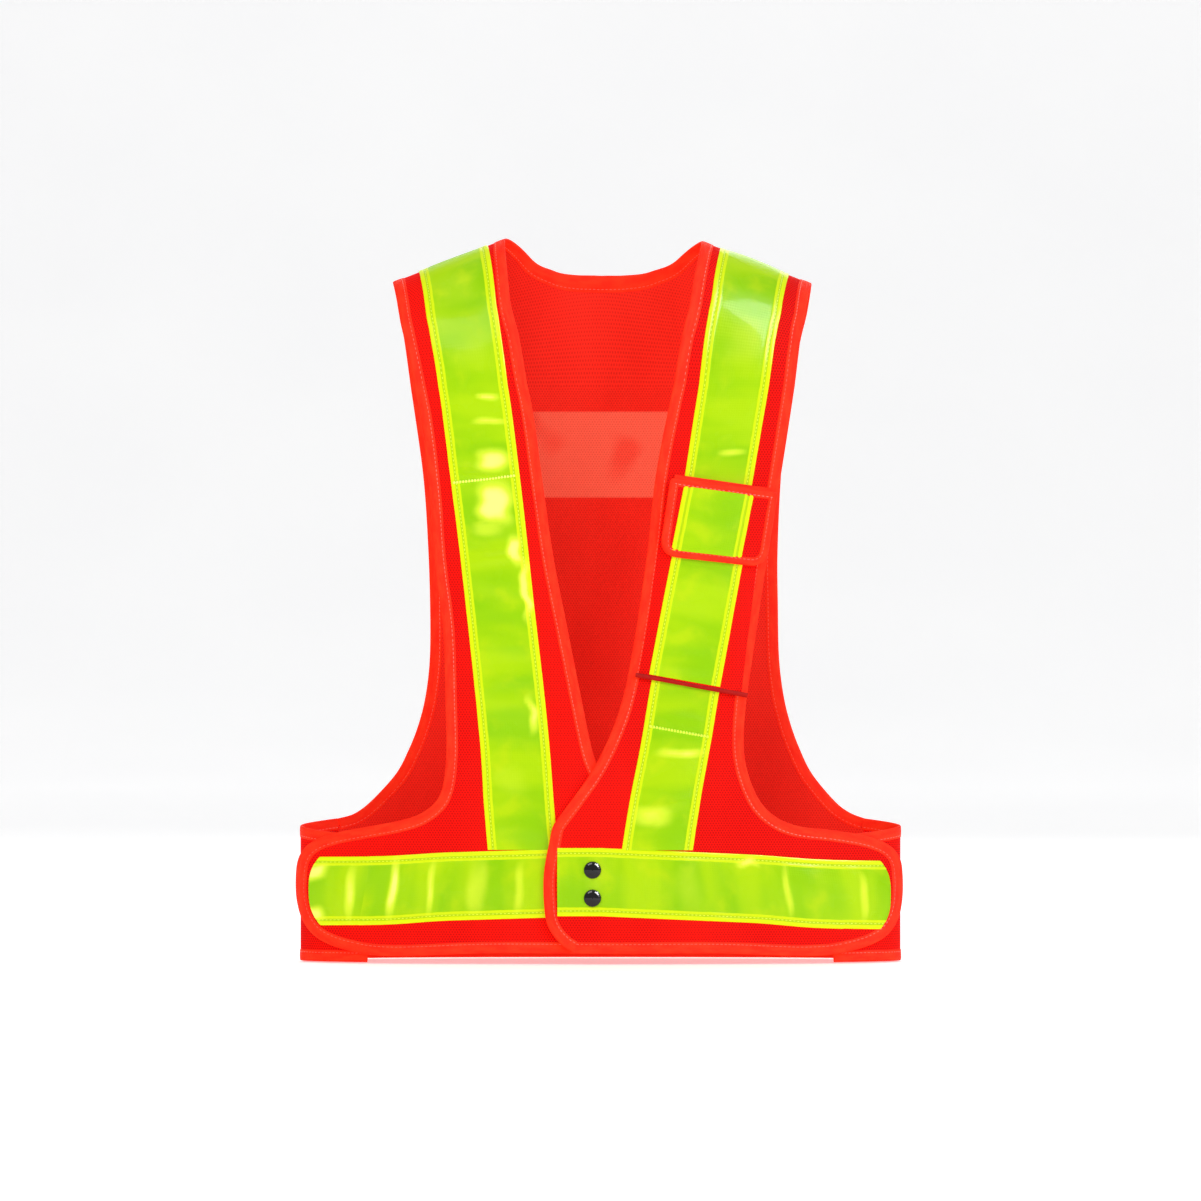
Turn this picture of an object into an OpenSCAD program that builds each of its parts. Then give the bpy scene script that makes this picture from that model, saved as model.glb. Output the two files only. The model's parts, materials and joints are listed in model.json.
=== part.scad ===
// High visibility vest, standing as on a body.
// Origin at the middle of the hem; +X to the wearer's left, -Y to the front, +Z up.

/* [Body shape] */
// Width between the two side folds
vest_w = 526; // [480:2:580]
// Height of the shoulder peaks beside the neck
peak_z = 633; // [600:1:670]
// Depth between the front and the back fabric
vest_d = 134; // [110:2:170]
// Fall of the shoulder line, as rise over run
shoulder_fall = 0.4; // [0.3:0.01:0.5]
// Height at which the shoulders start to round over
round_z = 505; // [480:1:520]

/* [Cloth] */
// Thickness of the mesh fabric
mesh_t = 1; // [0.6:0.1:1.2]
// Thickness of a folded binding
binding_t = 2; // [1.6:0.1:2.2]
// Width of the binding on every main edge
binding_w = 10; // [8:0.5:12]
// Width of the binding on the pocket flap
flap_binding_w = 6.6; // [5:0.2:8]
// Gap in the plane of the cloth between neighbouring pieces
seam_gap = 1; // [0.8:0.1:1.2]

/* [Reflective tape] */
// Width of the tape
tape_w = 60; // [50:1:62]
// Thickness of the tape
tape_t = 0.8; // [0.5:0.1:1]
// Gap between the mesh and the tape over it
tape_gap = 0.8; // [0.6:0.1:1]

/* [Fronts] */
// Lift of the fronts over the wings, at the waist
tab_lift = 3.6; // [3.4:0.1:4.2]
// Further lift of the left front where it lies over the right one
overlap_lift = 5.4; // [5.4:0.1:6.5]
// Height at which the front straps meet the shoulder yokes
split_z = 545; // [540:1:550]

/* [Snaps] */
// Diameter of a snap cap
snap_d = 15; // [12:0.5:16]
// Distance between the two snaps
snap_pitch = 24.5; // [22:0.5:28]
// Radial clearance between a stud and its socket
snap_play = 1.1; // [0.8:0.1:1.3]

/* [Pocket] */
// Lift of the pouch over the strap
pouch_lift = 3.4; // [3.2:0.1:4]
// Lift of the flap over the strap
flap_lift = 7.6; // [7.4:0.1:8.4]
// Height of the dark band at the foot of the pouch
band_h = 4.2; // [3:0.2:6]

/* [Hidden] */

half_w = vest_w / 2;
half_d = vest_d / 2;
// Size of the vest at which the outlines below are drawn
drawn_w = 534;
drawn_peak_z = 633;
// How square the waist section is: 2 is an ellipse
squareness = 2.6;
// Half width of the soft top of the shoulder line, across the neck
neck_round = 30;
// Distance between neck peak and centre, and height of the shoulder line at the centre
peak_x = 85;
crown_z = peak_z + shoulder_fall * norm([peak_x, neck_round]);
// Length of cloth over the rounded shoulder, on one side of the ridge
shoulder_s = 130;
// Height under which a front is lifted over the wings
lift_from_z = 190;
lift_run = 60;
// Height under which, and side from which, the left front rises over the right one
overlap_from_z = 260;
overlap_run = 80;
overlap_from_x = 150;
overlap_side = 100;
NO_LIFT = -1;
RIGHT = 0;
LEFT = 1;
tape_low = mesh_t + tape_gap;
// Height of the waist tape's middle at the centre, and how fast it drops to each side
waist_tape_z = 70.6;
left_waist_slope = 0.045;
right_waist_slope = 0.03;
back_waist_tape_z = 66;
// How far the waist tape reaches to each side on a front and on the back
front_tape_x = 198;
back_tape_x = 226;
// Chest tape of the back: middle height, half height and half width
chest_z = 446;
chest_half_h = 38;
chest_half_w = 72;
// Gap left where a front meets its yoke, so that the front can swing
split_gap = 4;
// Strap tape at the split: distance from the centre
split_tape_x = 121.5;
// The front turns about a line from the tab seam up to the middle of the strap
seam_x = 205;
seam_z = 70;
seam_lean = 0.154;
// Side patches: turns at their two edges, and heights of their bottom and top
patch_turns = [54, 66];
patch_z = [40, 92];
mesh_color = [0.98, 0.13, 0.08];
binding_color = [1, 0.26, 0.14];
tape_color = [0.72, 0.92, 0.1];
patch_color = [0.75, 0.1, 0.08];
snap_color = [0.05, 0.05, 0.06];
// Heights over the body's cloth of the left front's inside, and of the tape on each front
left_low = tab_lift + overlap_lift;
left_top = left_low + tape_low + tape_t;
right_top = tab_lift + tape_low + tape_t;
// Snaps: place of the middle between them, and diameters of their parts
snap_x = -7;
snap_z = 69.3;
prong_d = 4;
stud_d = 5.4;
plate_d = 11;
socket_d = 12;
cap_h = 3;
cap_rim_h = 0.5;
// The front reaches further out than the back: this puts the origin at mid depth
shift_y = (left_top + cap_h - tape_low - tape_t) / 2;

// ---- Cloth surface ----
// A point of cloth is [x, s]: s is the way down from the shoulder ridge,
// negative in front and positive behind.

function lerp(a, b, t) = a + (b - a) * t;
function smooth(t) = let (c = min(max(t, 0), 1)) c * c * (3 - 2 * c);
function ridge(x) = crown_z - shoulder_fall * norm([x, neck_round]);
function fullness(x) = sqrt(1 - pow(min(abs(x) / half_w, 1), squareness));
function way_down(x, z) = z < round_z ? shoulder_s + round_z - z
    : shoulder_s * acos(min((z - round_z) / (ridge(x) - round_z), 1)) / 90;
function drawn(p) = [p[0] * vest_w / drawn_w, p[1] * peak_z / drawn_peak_z];
function front(p) = let (q = drawn(p)) [q[0], -way_down(q[0], q[1])];
function rear(p) = let (q = drawn(p)) [q[0], way_down(q[0], q[1])];
function fronts(points) = [for (p = points) front(p)];
function rears(points) = [for (p = points) rear(p)];
function mirrored(points) = [for (p = points) [-p[0], p[1]]];
function lift(x, z, over) = over == NO_LIFT ? 0 : tab_lift * smooth((lift_from_z - z) / lift_run)
    + over * overlap_lift * smooth((overlap_from_x - x) / overlap_side)
    * smooth((overlap_from_z - z) / overlap_run);
function cloth(p, height, over) = let (
    way = abs(p[1]),
    angle = 90 * min(way / shoulder_s, 1),
    z = round_z + (way < shoulder_s ? (ridge(p[0]) - round_z) * cos(angle) : shoulder_s - way),
    h = height + lift(p[0], z, over),
    side = p[1] < 0 ? -1 : 1
) [p[0] * (half_w + h) / half_w, side * (half_d + h) * fullness(p[0]) * sin(angle) + shift_y,
    z + h * cos(angle)];
// A point near a side fold: turn is 0 at the front centre, 90 at the fold, 180 at the back centre
function fold_point(turn, z, h) = [(half_w + h) * pow(sin(turn), 2 / squareness),
    -(half_d + h) * cos(turn) + shift_y, z];
function turn_at(x) = asin(pow(x / half_w, squareness / 2));

// ---- Curves ----

function spline_at(p0, p1, p2, p3, t) = 0.5 * (2 * p1 + (p2 - p0) * t
    + (2 * p0 - 5 * p1 + 4 * p2 - p3) * t * t + (3 * p1 - p0 - 3 * p2 + p3) * t * t * t);
function curve(points, n) = let (m = len(points)) concat(
    [for (i = [0:m - 2]) for (k = [0:n - 1])
        spline_at(points[max(i - 1, 0)], points[i], points[i + 1], points[min(i + 2, m - 1)], k / n)],
    [points[m - 1]]);
function line(a, b, n) = [for (k = [0:n]) lerp(a, b, k / n)];
function heading(path, i) = let (
    d = path[min(i + 1, len(path) - 1)] - path[max(i - 1, 0)]) d / norm(d);
// The path moved to its left by d
function moved(path, d) = [for (i = [0:len(path) - 1])
    let (u = heading(path, i)) path[i] + d * [-u[1], u[0]]];
function reversed(path) = [for (i = [len(path) - 1:-1:0]) path[i]];
function tail(path, from) = [for (i = [from:len(path) - 1]) path[i]];
function even(n) = [for (k = [0:n]) k / n];

// ---- Solids ----

// Closed solid between two grids of points, an inner and an outer one
module skin(inner, outer) {
    cols = len(inner[0]);
    last = len(inner) - 1;
    size = len(inner) * cols;
    out = outer[0][0] - inner[0][0];
    facing = cross(inner[0][1] - inner[0][0], inner[1][0] - inner[0][0]) * out;
    function id(i, j, k) = k * size + i * cols + j;
    quads = concat(
        [for (i = [0:last - 1]) for (j = [0:cols - 2])
            [id(i, j, 1), id(i, j + 1, 1), id(i + 1, j + 1, 1), id(i + 1, j, 1)]],
        [for (i = [0:last - 1]) for (j = [0:cols - 2])
            [id(i, j, 0), id(i + 1, j, 0), id(i + 1, j + 1, 0), id(i, j + 1, 0)]],
        [for (i = [0:last - 1]) [id(i, 0, 1), id(i + 1, 0, 1), id(i + 1, 0, 0), id(i, 0, 0)]],
        [for (i = [0:last - 1]) let (j = cols - 1)
            [id(i + 1, j, 1), id(i, j, 1), id(i, j, 0), id(i + 1, j, 0)]],
        [for (j = [0:cols - 2]) [id(0, j + 1, 1), id(0, j, 1), id(0, j, 0), id(0, j + 1, 0)]],
        [for (j = [0:cols - 2]) [id(last, j, 1), id(last, j + 1, 1), id(last, j + 1, 0), id(last, j, 0)]]);
    triangles = [for (q = quads) each [[q[0], q[1], q[2]], [q[0], q[2], q[3]]]];
    polyhedron(
        points = concat([for (row = inner) each row], [for (row = outer) each row]),
        faces = facing > 0 ? [for (f = triangles) [f[2], f[1], f[0]]] : triangles);
}

// Cloth ruled between two paths of cloth points, from height low to height high
module sheet(a, b, cols, low, high, over = NO_LIFT) {
    skin([for (i = [0:len(a) - 1]) [for (c = cols) cloth(lerp(a[i], b[i], c), low, over)]],
        [for (i = [0:len(a) - 1]) [for (c = cols) cloth(lerp(a[i], b[i], c), high, over)]]);
}

// Folded binding along a path, on its left side for a positive width
module binding(path, w, base = 0, over = NO_LIFT, t = binding_t) {
    color(binding_color)
        sheet(path, moved(path, w), even(1), base - (t - mesh_t) / 2, base + (t + mesh_t) / 2, over);
}

// Reflective tape that runs up the cloth, centred on a path, with level ends
module tape(path, low, over = NO_LIFT) {
    half = [tape_w / 2, 0];
    color(tape_color) sheet([for (p = path) p - half], [for (p = path) p + half], even(4),
        low, low + tape_t, over);
}

// Cloth near a side fold between two turns, with a bottom and a top that may slope
module fold_sheet(turns, bottom, top_from, top_to, low, high) {
    last = len(turns) - 1;
    function grid(h) = [for (i = [0:last]) [for (z = [bottom, lerp(top_from, top_to, i / last)])
        fold_point(turns[i], z, h)]];
    skin(grid(low), grid(high));
}

// ---- Outlines ----

// Heights of the armhole's corners at the two tab seams
left_corner_z = 115;
right_corner_z = 121;
// Left front: centre edge from the hem corner up to the yoke
left_edge = curve(fronts([[-20, 6.5], [-41, 18], [-48.5, 42], [-49, 75], [-44, 105], [-41, 118],
    [-33, 130], [-22, 145], [-2, 176], [18, 224], [30, 280], [41, 355], [49, 425], [62, 490],
    [72, split_z]]), 2);
// Left front: armhole edge from the tab seam up to the yoke
left_armhole = curve(fronts([[198.5, left_corner_z], [171, 119.5], [150, 129], [136, 147],
    [127, 180], [128, 220], [136, 272], [148, 345], [158.5, 415], [167, 480], [174, split_z]]), 2);
// Right front: the same two edges; its centre edge is hidden under the left front
right_edge = curve(fronts([[2, 6.5], [18, 15], [26, 38], [27, 75], [24, 108], [20, 122],
    [15, 134], [7, 152], [-6, 180], [-17, 230], [-29, 290], [-42, 355], [-51, 415], [-61, 486],
    [-72, split_z]]), 2);
right_armhole = curve(fronts([[-197.5, right_corner_z], [-175, 124.5], [-155, 131], [-141, 146],
    [-137, 178], [-138, 232], [-140.5, 290], [-148, 352], [-152, 415], [-160, 480],
    [-174, split_z]]), 2);
// Height of the hem of a front at its tab seam
hem_lift = 9;

function seam(z, side) = front([side * (seam_x - seam_lean * (z - seam_z)), z]);

// Rounded end of a side tab, from the hem up to the armhole, on the left side
tab_end = curve(fronts([[222, 10.5], [247, 20], [260, 34], [265.5, 52], [266, 73], [263, 90],
    [253, 102], [234, 110], [205, 116]]), 3);

// A wing runs round the side fold, from the side seam on the back to under the front's tab
wing_x = 236;
wing_top_z = 116;
wing_front_z = 110;
wing_front_turn = 46;
wing_back_turn = 180 - turn_at(drawn([wing_x, 0])[0]);
// Turns that the wing's front binding, and its gap to the cloth, take up
wing_binding_turn = 2.2;
wing_gap_turn = 0.2;
// Bottom edge of the cloth above the hem binding
hem_z = binding_w + seam_gap;
// Back: side seam corner and armhole up to the ridge, on the left side
back_armhole = curve(rears([[wing_x, wing_top_z], [215, 126], [202, 140], [186, 163], [175, 185],
    [167, 207], [161, 232], [157, 265], [156, 310], [156, 360], [159, 420], [166, 480],
    [175, split_z], [184, 590]]), 2);
// Back neckline from the centre to the neck peak
neckline = curve(concat(rears([[0, 604], [22, 605], [42, 609], [64, 620]]),
    [[peak_x * vest_w / drawn_w, 0]]), 4);

// ---- Back, wings and shoulders ----

// Way down from the ridge to the top edge of the back panel
neck_inset = moved(neckline, binding_w + seam_gap);
function neck_way(x) = let (hits = [for (i = [0:len(neck_inset) - 2])
        if (neck_inset[i][0] <= x && neck_inset[i + 1][0] > x)
            lerp(neck_inset[i][1], neck_inset[i + 1][1],
                (x - neck_inset[i][0]) / (neck_inset[i + 1][0] - neck_inset[i][0]))])
    x <= neck_inset[0][0] ? neck_inset[0][1] : len(hits) == 0 ? 0 : max(hits[0], 0);

module back_panel() {
    // Way down from the ridge over which the rows take up the curve of the neckline
    neck_fade = 260;
    side = line(rear([wing_x, hem_z]), rear([wing_x, wing_top_z - hem_z]), 4);
    path = concat([for (p = side) p - [seam_gap, 0]], tail(moved(back_armhole, -binding_w - seam_gap), 1));
    half = [0, 0.18, 0.36, 0.54, 0.7, 0.85, 1];
    cols = concat(-reversed(tail(half, 1)), half);
    function place(p, c) = let (x = p[0] * c, drop = neck_way(abs(x)))
        [x, p[1] < neck_fade ? drop + p[1] * (1 - drop / neck_fade) : p[1]];
    function grid(h) = [for (p = path) [for (c = cols) cloth(place(p, c), h, NO_LIFT)]];
    color(mesh_color) skin(grid(0), grid(mesh_t));
}

module left_side_wing() {
    start = wing_front_turn + wing_binding_turn + wing_gap_turn;
    color(mesh_color) fold_sheet(line(start, wing_back_turn - wing_gap_turn / 2, 10),
        hem_z, wing_front_z - hem_z, wing_top_z - hem_z, 0, mesh_t);
}

module left_wing_binding() {
    turns = line(wing_front_turn, wing_back_turn - wing_gap_turn / 2, 10);
    inner = wing_front_turn + wing_binding_turn;
    gap = 0.4;
    color(binding_color) difference() {
        fold_sheet(turns, hem_z - gap, wing_front_z, wing_top_z - gap, 0, binding_t);
        fold_sheet(concat([inner], line(inner + 2, wing_back_turn + 2, 9)),
            0, wing_front_z - binding_w, wing_top_z - binding_w - gap, -1, binding_t + 1);
    }
}

// Hem binding of the back and both wings: flat underneath, the vest rests on it
module back_hem_binding() {
    turns = line(wing_front_turn, 180, 24);
    half = [for (t = turns) fold_point(t, 0, binding_t)];
    half_in = [for (t = turns) fold_point(t, 0, 0)];
    ring = concat([for (p = half) [p[0], p[1]]], [for (p = reversed(half)) [-p[0], p[1]]],
        [for (p = half_in) [-p[0], p[1]]], [for (p = reversed(half_in)) [p[0], p[1]]]);
    color(binding_color) linear_extrude(binding_w) polygon(ring);
}

// Edges of a front strap over the shoulder, from the ridge down to the split
neck_strap = curve([neckline[len(neckline) - 1], front([82, 590]), front([72, split_z + split_gap])], 5);
arm_strap = curve([[back_armhole[len(back_armhole) - 1][0], 0], front([179, 570]),
    front([174, split_z + split_gap])], 5);

module left_back_armhole_binding() {
    binding(concat(reversed(tail(reversed(back_armhole), 1)), arm_strap), -binding_w);
}

module left_shoulder_yoke() {
    inset = binding_w + 1.8 * seam_gap;
    // Drawn up a little, to stay clear of the back panel at the ridge and of the front at the foot
    drawn_up = 0.96;
    function clear(path) = [for (p = path) [p[0], drawn_up * min(p[1], 0) - seam_gap]];
    color(mesh_color) sheet(clear(moved(neck_strap, inset)), clear(moved(arm_strap, -inset)),
        even(5), 0, mesh_t);
}

module left_shoulder_tape() {
    over_ridge = concat(fronts([[split_tape_x, split_z + split_gap], [127, 578]]), [[131, 0]],
        rears([[128, 570], [121, 520], [110, 446], [97, 340], [86, 230], [78, 104]]));
    tape(curve(over_ridge, 5), tape_low);
}

// Tape across the back, level, reaching x to each side
module cross_tape(x, z, half_h, n) {
    function edge(at) = line(rear([-x, at]), rear([x, at]), n);
    color(tape_color) sheet(edge(z + half_h), edge(z - half_h), even(3), tape_low, tape_low + tape_t);
}

module back_waist_tape() {
    cross_tape(back_tape_x, back_waist_tape_z, tape_w / 2, 24);
}

module back_chest_tape() {
    cross_tape(chest_half_w, chest_z, chest_half_h, 8);
}

module neck_binding() {
    left = concat(neckline, tail(neck_strap, 1));
    binding(concat(reversed(mirrored(tail(left, 1))), left), binding_w);
}

// Patch near a side fold, between two turns
module side_patch(low, high) {
    color(patch_color)
        fold_sheet(line(patch_turns[0], patch_turns[1], 3), patch_z[0], patch_z[1], patch_z[1], low, high);
}

module left_loop_patch() {
    side_patch(mesh_t + 0.3, mesh_t + 0.8);
}

// ---- Fronts ----

// Panel of a front, between its centre edge and its seam and armhole edges
module front_panel(edge, armhole, side, over) {
    inset = side * (binding_w + seam_gap);
    rows = len(edge) - len(armhole);
    corner_z = side > 0 ? left_corner_z : right_corner_z;
    seam_path = [for (k = [0:rows - 1]) seam(lerp(hem_lift + hem_z, corner_z - hem_z, k / rows), side)
        - [side * seam_gap, 0]];
    color(mesh_color) sheet(moved(edge, -inset), concat(seam_path, moved(armhole, inset)),
        even(9), 0, mesh_t, over);
}

// Binding down the centre edge, round its corner and along the hem to the tab seam
module front_edge_binding(edge, side, over) {
    start = edge[0];
    hem_end = seam(hem_lift, side) - [side * seam_gap, 0];
    hem = reversed(tail(curve([start, front([side * 100, 6]), front([side * 183, 5.5]), hem_end], 4), 1));
    binding(concat(hem, edge), -side * binding_w, 0, over);
}

module left_front_panel() {
    front_panel(left_edge, left_armhole, 1, LEFT);
}

module left_front_edge_binding() {
    front_edge_binding(left_edge, 1, LEFT);
}

module left_front_armhole_binding() {
    binding(left_armhole, binding_w, 0, LEFT);
}

module right_front_panel() {
    front_panel(right_edge, right_armhole, -1, RIGHT);
}

module right_front_edge_binding() {
    front_edge_binding(right_edge, -1, RIGHT);
}

module right_front_armhole_binding() {
    binding(right_armhole, -binding_w, 0, RIGHT);
}

// Waist tape of a front, from the tab seam to the centre
module waist_tape(from_x, to_x, over) {
    side = sign(to_x);
    slope = side > 0 ? left_waist_slope : right_waist_slope;
    function edge(dz) = [for (k = [0:16]) let (x = lerp(from_x, to_x, k / 16))
        front([x, waist_tape_z + dz - slope * max(side * x, 0)])];
    top = tape_w / 2;
    color(tape_color) sheet(edge(top), edge(-top), even(2), tape_low, tape_low + tape_t, over);
}

module left_waist_tape() {
    waist_tape(-37, front_tape_x, LEFT);
}

module right_waist_tape() {
    waist_tape(15, -front_tape_x, RIGHT);
}

module left_strap_tape() {
    tape(curve(fronts([[split_tape_x, split_z - seam_gap], [116, 493], [106, 424]]), 4),
        tape_low, LEFT);
}

module left_lower_strap_tape() {
    tape(curve(fronts([[79, 258], [73, 229], [65, 185], [56, 141], [50.5, 101]]), 4),
        tape_low, LEFT);
}

module right_strap_tape() {
    tape(curve(fronts([[-split_tape_x, split_z - seam_gap], [-111, 493], [-100, 405], [-90, 317],
        [-80, 229], [-72, 141], [-68, 101]]), 5), tape_low, RIGHT);
}

// ---- Snaps ----

// One piece at each snap, its axis pointing forwards from the cloth surface
module at_snaps() {
    for (z = [snap_z - snap_pitch / 2, snap_z + snap_pitch / 2])
        translate([snap_x, shift_y - half_d, z]) rotate([90, 0, 0]) children();
}

// Upright disc between two heights over the cloth
module disc(d, low, high) {
    translate([0, 0, low]) cylinder(d = d, h = high - low, $fn = 48);
}

module snap_caps() {
    color(snap_color) at_snaps() {
        disc(prong_d, left_low - 0.2, left_top + 0.4);
        translate([0, 0, left_top]) rotate_extrude($fn = 48)
            polygon(concat([[0, 0], [snap_d / 2 - 0.6, 0]], [for (a = [0:15:90])
                [snap_d / 2 * cos(a), cap_rim_h + (cap_h - cap_rim_h) * sin(a)]]));
    }
}

module snap_sockets() {
    plate_t = 0.35;
    low = right_top + 1.2;
    color("silver") at_snaps() difference() {
        disc(socket_d, low, left_low - 0.05);
        disc(stud_d + 2 * snap_play, low - 1, left_low - plate_t);
    }
}

module snap_studs() {
    plate_low = right_top + 0.1;
    color("silver") at_snaps() {
        disc(prong_d, tab_lift - 0.6, right_top + 0.2);
        disc(plate_d, plate_low, plate_low + 0.7);
        disc(stud_d, plate_low + 0.6, left_low - 0.6);
    }
}

module snap_backs() {
    back_t = 0.9;
    low = tab_lift - 1;
    color("silver") at_snaps() difference() {
        disc(plate_d, low, low + back_t);
        disc(prong_d + 0.6, low - 1, low + back_t + 1);
    }
}

// ---- Pocket on the left strap ----

module pocket_pouch() {
    a = curve(fronts([[49, 396], [41, 340], [34.5, 290], [31, 254]]), 4);
    b = curve(fronts([[155, 380], [146, 330], [136, 275], [128.5, 236]]), 4);
    color(mesh_color) sheet(a, b, even(6), pouch_lift, pouch_lift + mesh_t, LEFT);
}

pouch_top = pouch_lift + mesh_t;

module pocket_pouch_tape() {
    tape(curve(fronts([[100, 385], [89, 330], [78.5, 259]]), 5), pouch_top + tape_gap, LEFT);
}

module pocket_foot_band() {
    ends = [[30, 252.5], [128, 234.5]];
    top = fronts(line(ends[0], ends[1], 8));
    color(patch_color) sheet(top, [for (p = top) p - [0, band_h]], even(1), pouch_lift - 0.4,
        pouch_top, LEFT);
}

flap_corners = [[60, 424], [153, 411], [143, 345], [50, 355.5]];
flap_w = 93;
flap_h = 67;
flap_corner_r = 10;
// Gap between the flap's cloth and its binding
flap_gap = 1.6;

// Point of the flap: u across from its inner to its outer side, v down from its top edge
function flap_at(u, v) = front(lerp(lerp(flap_corners[0], flap_corners[1], u),
    lerp(flap_corners[3], flap_corners[2], u), v));

module pocket_flap() {
    u = (flap_binding_w + flap_gap) / flap_w;
    v = (flap_binding_w + flap_gap) / flap_h;
    function side(u) = [for (k = even(6)) flap_at(u, lerp(v, 1 - v, k))];
    color(mesh_color) sheet(side(u), side(1 - u), even(7), flap_lift, flap_lift + mesh_t, LEFT);
}

module pocket_flap_tape() {
    v = (flap_binding_w + flap_gap + 0.4) / flap_h;
    // Shares of the flap's width at the tape's two edges, and how far they drift down the flap
    edges = [0.19, 0.83];
    drift = 0.05;
    function side(u) = [for (k = even(5)) flap_at(u - drift * k, lerp(v, 1 - v, k))];
    color(tape_color) sheet(side(edges[0]), side(edges[1]), even(4), flap_lift + tape_low,
        flap_lift + tape_low + tape_t, LEFT);
}

module pocket_flap_binding() {
    // Rounded corner between two sides, by quarter turns about its centre
    function corner(p, d1, d2) = [for (a = [0:22.5:90])
        p + flap_corner_r * (d1 * (1 - sin(a)) + d2 * (1 - cos(a)))];
    c = [for (k = [[0, 0], [1, 0], [1, 1], [0, 1]]) flap_at(k[0], k[1])];
    function way(a, b) = (b - a) / norm(b - a);
    down_right = corner(c[2], way(c[2], c[1]), way(c[2], c[3]));
    down_left = corner(c[3], way(c[3], c[2]), way(c[3], c[0]));
    ring = concat([lerp(c[0], c[1], 0.5)], line(lerp(c[0], c[1], 0.6), c[1] - [1, 0], 3),
        line(c[1] - [0, 1], down_right[0], 4), tail(down_right, 1),
        tail(line(down_right[4], down_left[0], 5), 1), tail(down_left, 1),
        tail(line(down_left[4], c[0] - [0, 1], 4), 1), line(c[0] + [1, 0], lerp(c[0], c[1], 0.497), 4));
    binding(ring, -flap_binding_w, flap_lift, LEFT, 3);
}

module pocket_patch(low, high) {
    function side(u) = [for (v = [0.6, 0.8]) flap_at(u, v)];
    color(patch_color) sheet(side(0.4), side(0.62), even(2), low, high, LEFT);
}

module pocket_loop_patch() {
    pocket_patch(pouch_top + tape_gap + tape_t + 0.1, pouch_top + tape_gap + tape_t + 0.5);
}

module pocket_hook_patch() {
    pocket_patch(flap_lift - 0.5, flap_lift - 0.1);
}

// ---- Side tabs ----

module left_tab() {
    end = moved(tab_end, binding_w + seam_gap);
    last = len(end) - 1;
    start = [for (i = [0:last]) seam(lerp(hem_lift + hem_z, left_corner_z - hem_z, i / last), 1)
        + [seam_gap, 0]];
    color(mesh_color) sheet(start, end, even(7), 0, mesh_t, RIGHT);
}

module left_tab_binding() {
    hem = line(seam(hem_lift, 1) + [seam_gap, 0], tab_end[0], 2);
    rest = seam(left_corner_z + 1, 1) + [seam_gap, 0];
    binding(concat([hem[0], hem[1]], tab_end, [rest]), binding_w, 0, RIGHT);
}

// End of the waist tape on a tab: cut along the seam, rounded to the tab's end
module tab_tape(slope) {
    middle_z = waist_tape_z - slope * (seam_x + 25);
    end_x = 252;
    bulge = 9;
    heights = [for (i = even(6)) middle_z + tape_w * (0.5 - i)];
    start = [for (z = heights) seam(z, 1) + [2 * seam_gap, 0]];
    end = [for (z = heights) front([end_x - bulge * pow(abs(2 * (z - middle_z) / tape_w), 3), z])];
    color(tape_color) sheet(start, end, even(7), tape_low, tape_low + tape_t, RIGHT);
}

module left_tab_tape() {
    tab_tape(left_waist_slope);
}

module left_hook_patch() {
    side_patch(tab_lift - 1.4, tab_lift - 0.9);
}

// ---- Right-hand copies ----

module right_side_wing() {
    mirror([1, 0, 0]) left_side_wing();
}

module right_wing_binding() {
    mirror([1, 0, 0]) left_wing_binding();
}

module right_back_armhole_binding() {
    mirror([1, 0, 0]) left_back_armhole_binding();
}

module right_shoulder_yoke() {
    mirror([1, 0, 0]) left_shoulder_yoke();
}

module right_shoulder_tape() {
    mirror([1, 0, 0]) left_shoulder_tape();
}

module right_loop_patch() {
    mirror([1, 0, 0]) left_loop_patch();
}

module right_tab() {
    mirror([1, 0, 0]) left_tab();
}

module right_tab_binding() {
    mirror([1, 0, 0]) left_tab_binding();
}

module right_tab_tape() {
    mirror([1, 0, 0]) tab_tape(right_waist_slope);
}

module right_hook_patch() {
    mirror([1, 0, 0]) left_hook_patch();
}

back_panel();
left_side_wing();
right_side_wing();
back_hem_binding();
left_wing_binding();
right_wing_binding();
left_back_armhole_binding();
right_back_armhole_binding();
left_shoulder_yoke();
right_shoulder_yoke();
left_shoulder_tape();
right_shoulder_tape();
back_waist_tape();
back_chest_tape();
neck_binding();
left_loop_patch();
right_loop_patch();
left_front_panel();
left_front_edge_binding();
left_front_armhole_binding();
left_strap_tape();
left_lower_strap_tape();
left_waist_tape();
snap_caps();
snap_sockets();
pocket_pouch();
pocket_pouch_tape();
pocket_foot_band();
pocket_loop_patch();
pocket_flap();
pocket_flap_tape();
pocket_flap_binding();
pocket_hook_patch();
left_tab();
left_tab_binding();
left_tab_tape();
left_hook_patch();
right_front_panel();
right_front_edge_binding();
right_front_armhole_binding();
right_strap_tape();
right_waist_tape();
snap_studs();
snap_backs();
right_tab();
right_tab_binding();
right_tab_tape();
right_hook_patch();
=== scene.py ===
"""High visibility vest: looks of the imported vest, built as cloth round the frame.

Cloth is laid out in millimetres as (x, s): x runs to the wearer's left, and s is the way down
from the shoulder ridge, negative in front and positive behind. cloth() folds that plane onto the
body, and every piece of fabric, binding and tape is a grid or a tube in it.
"""
import json
import math

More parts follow.
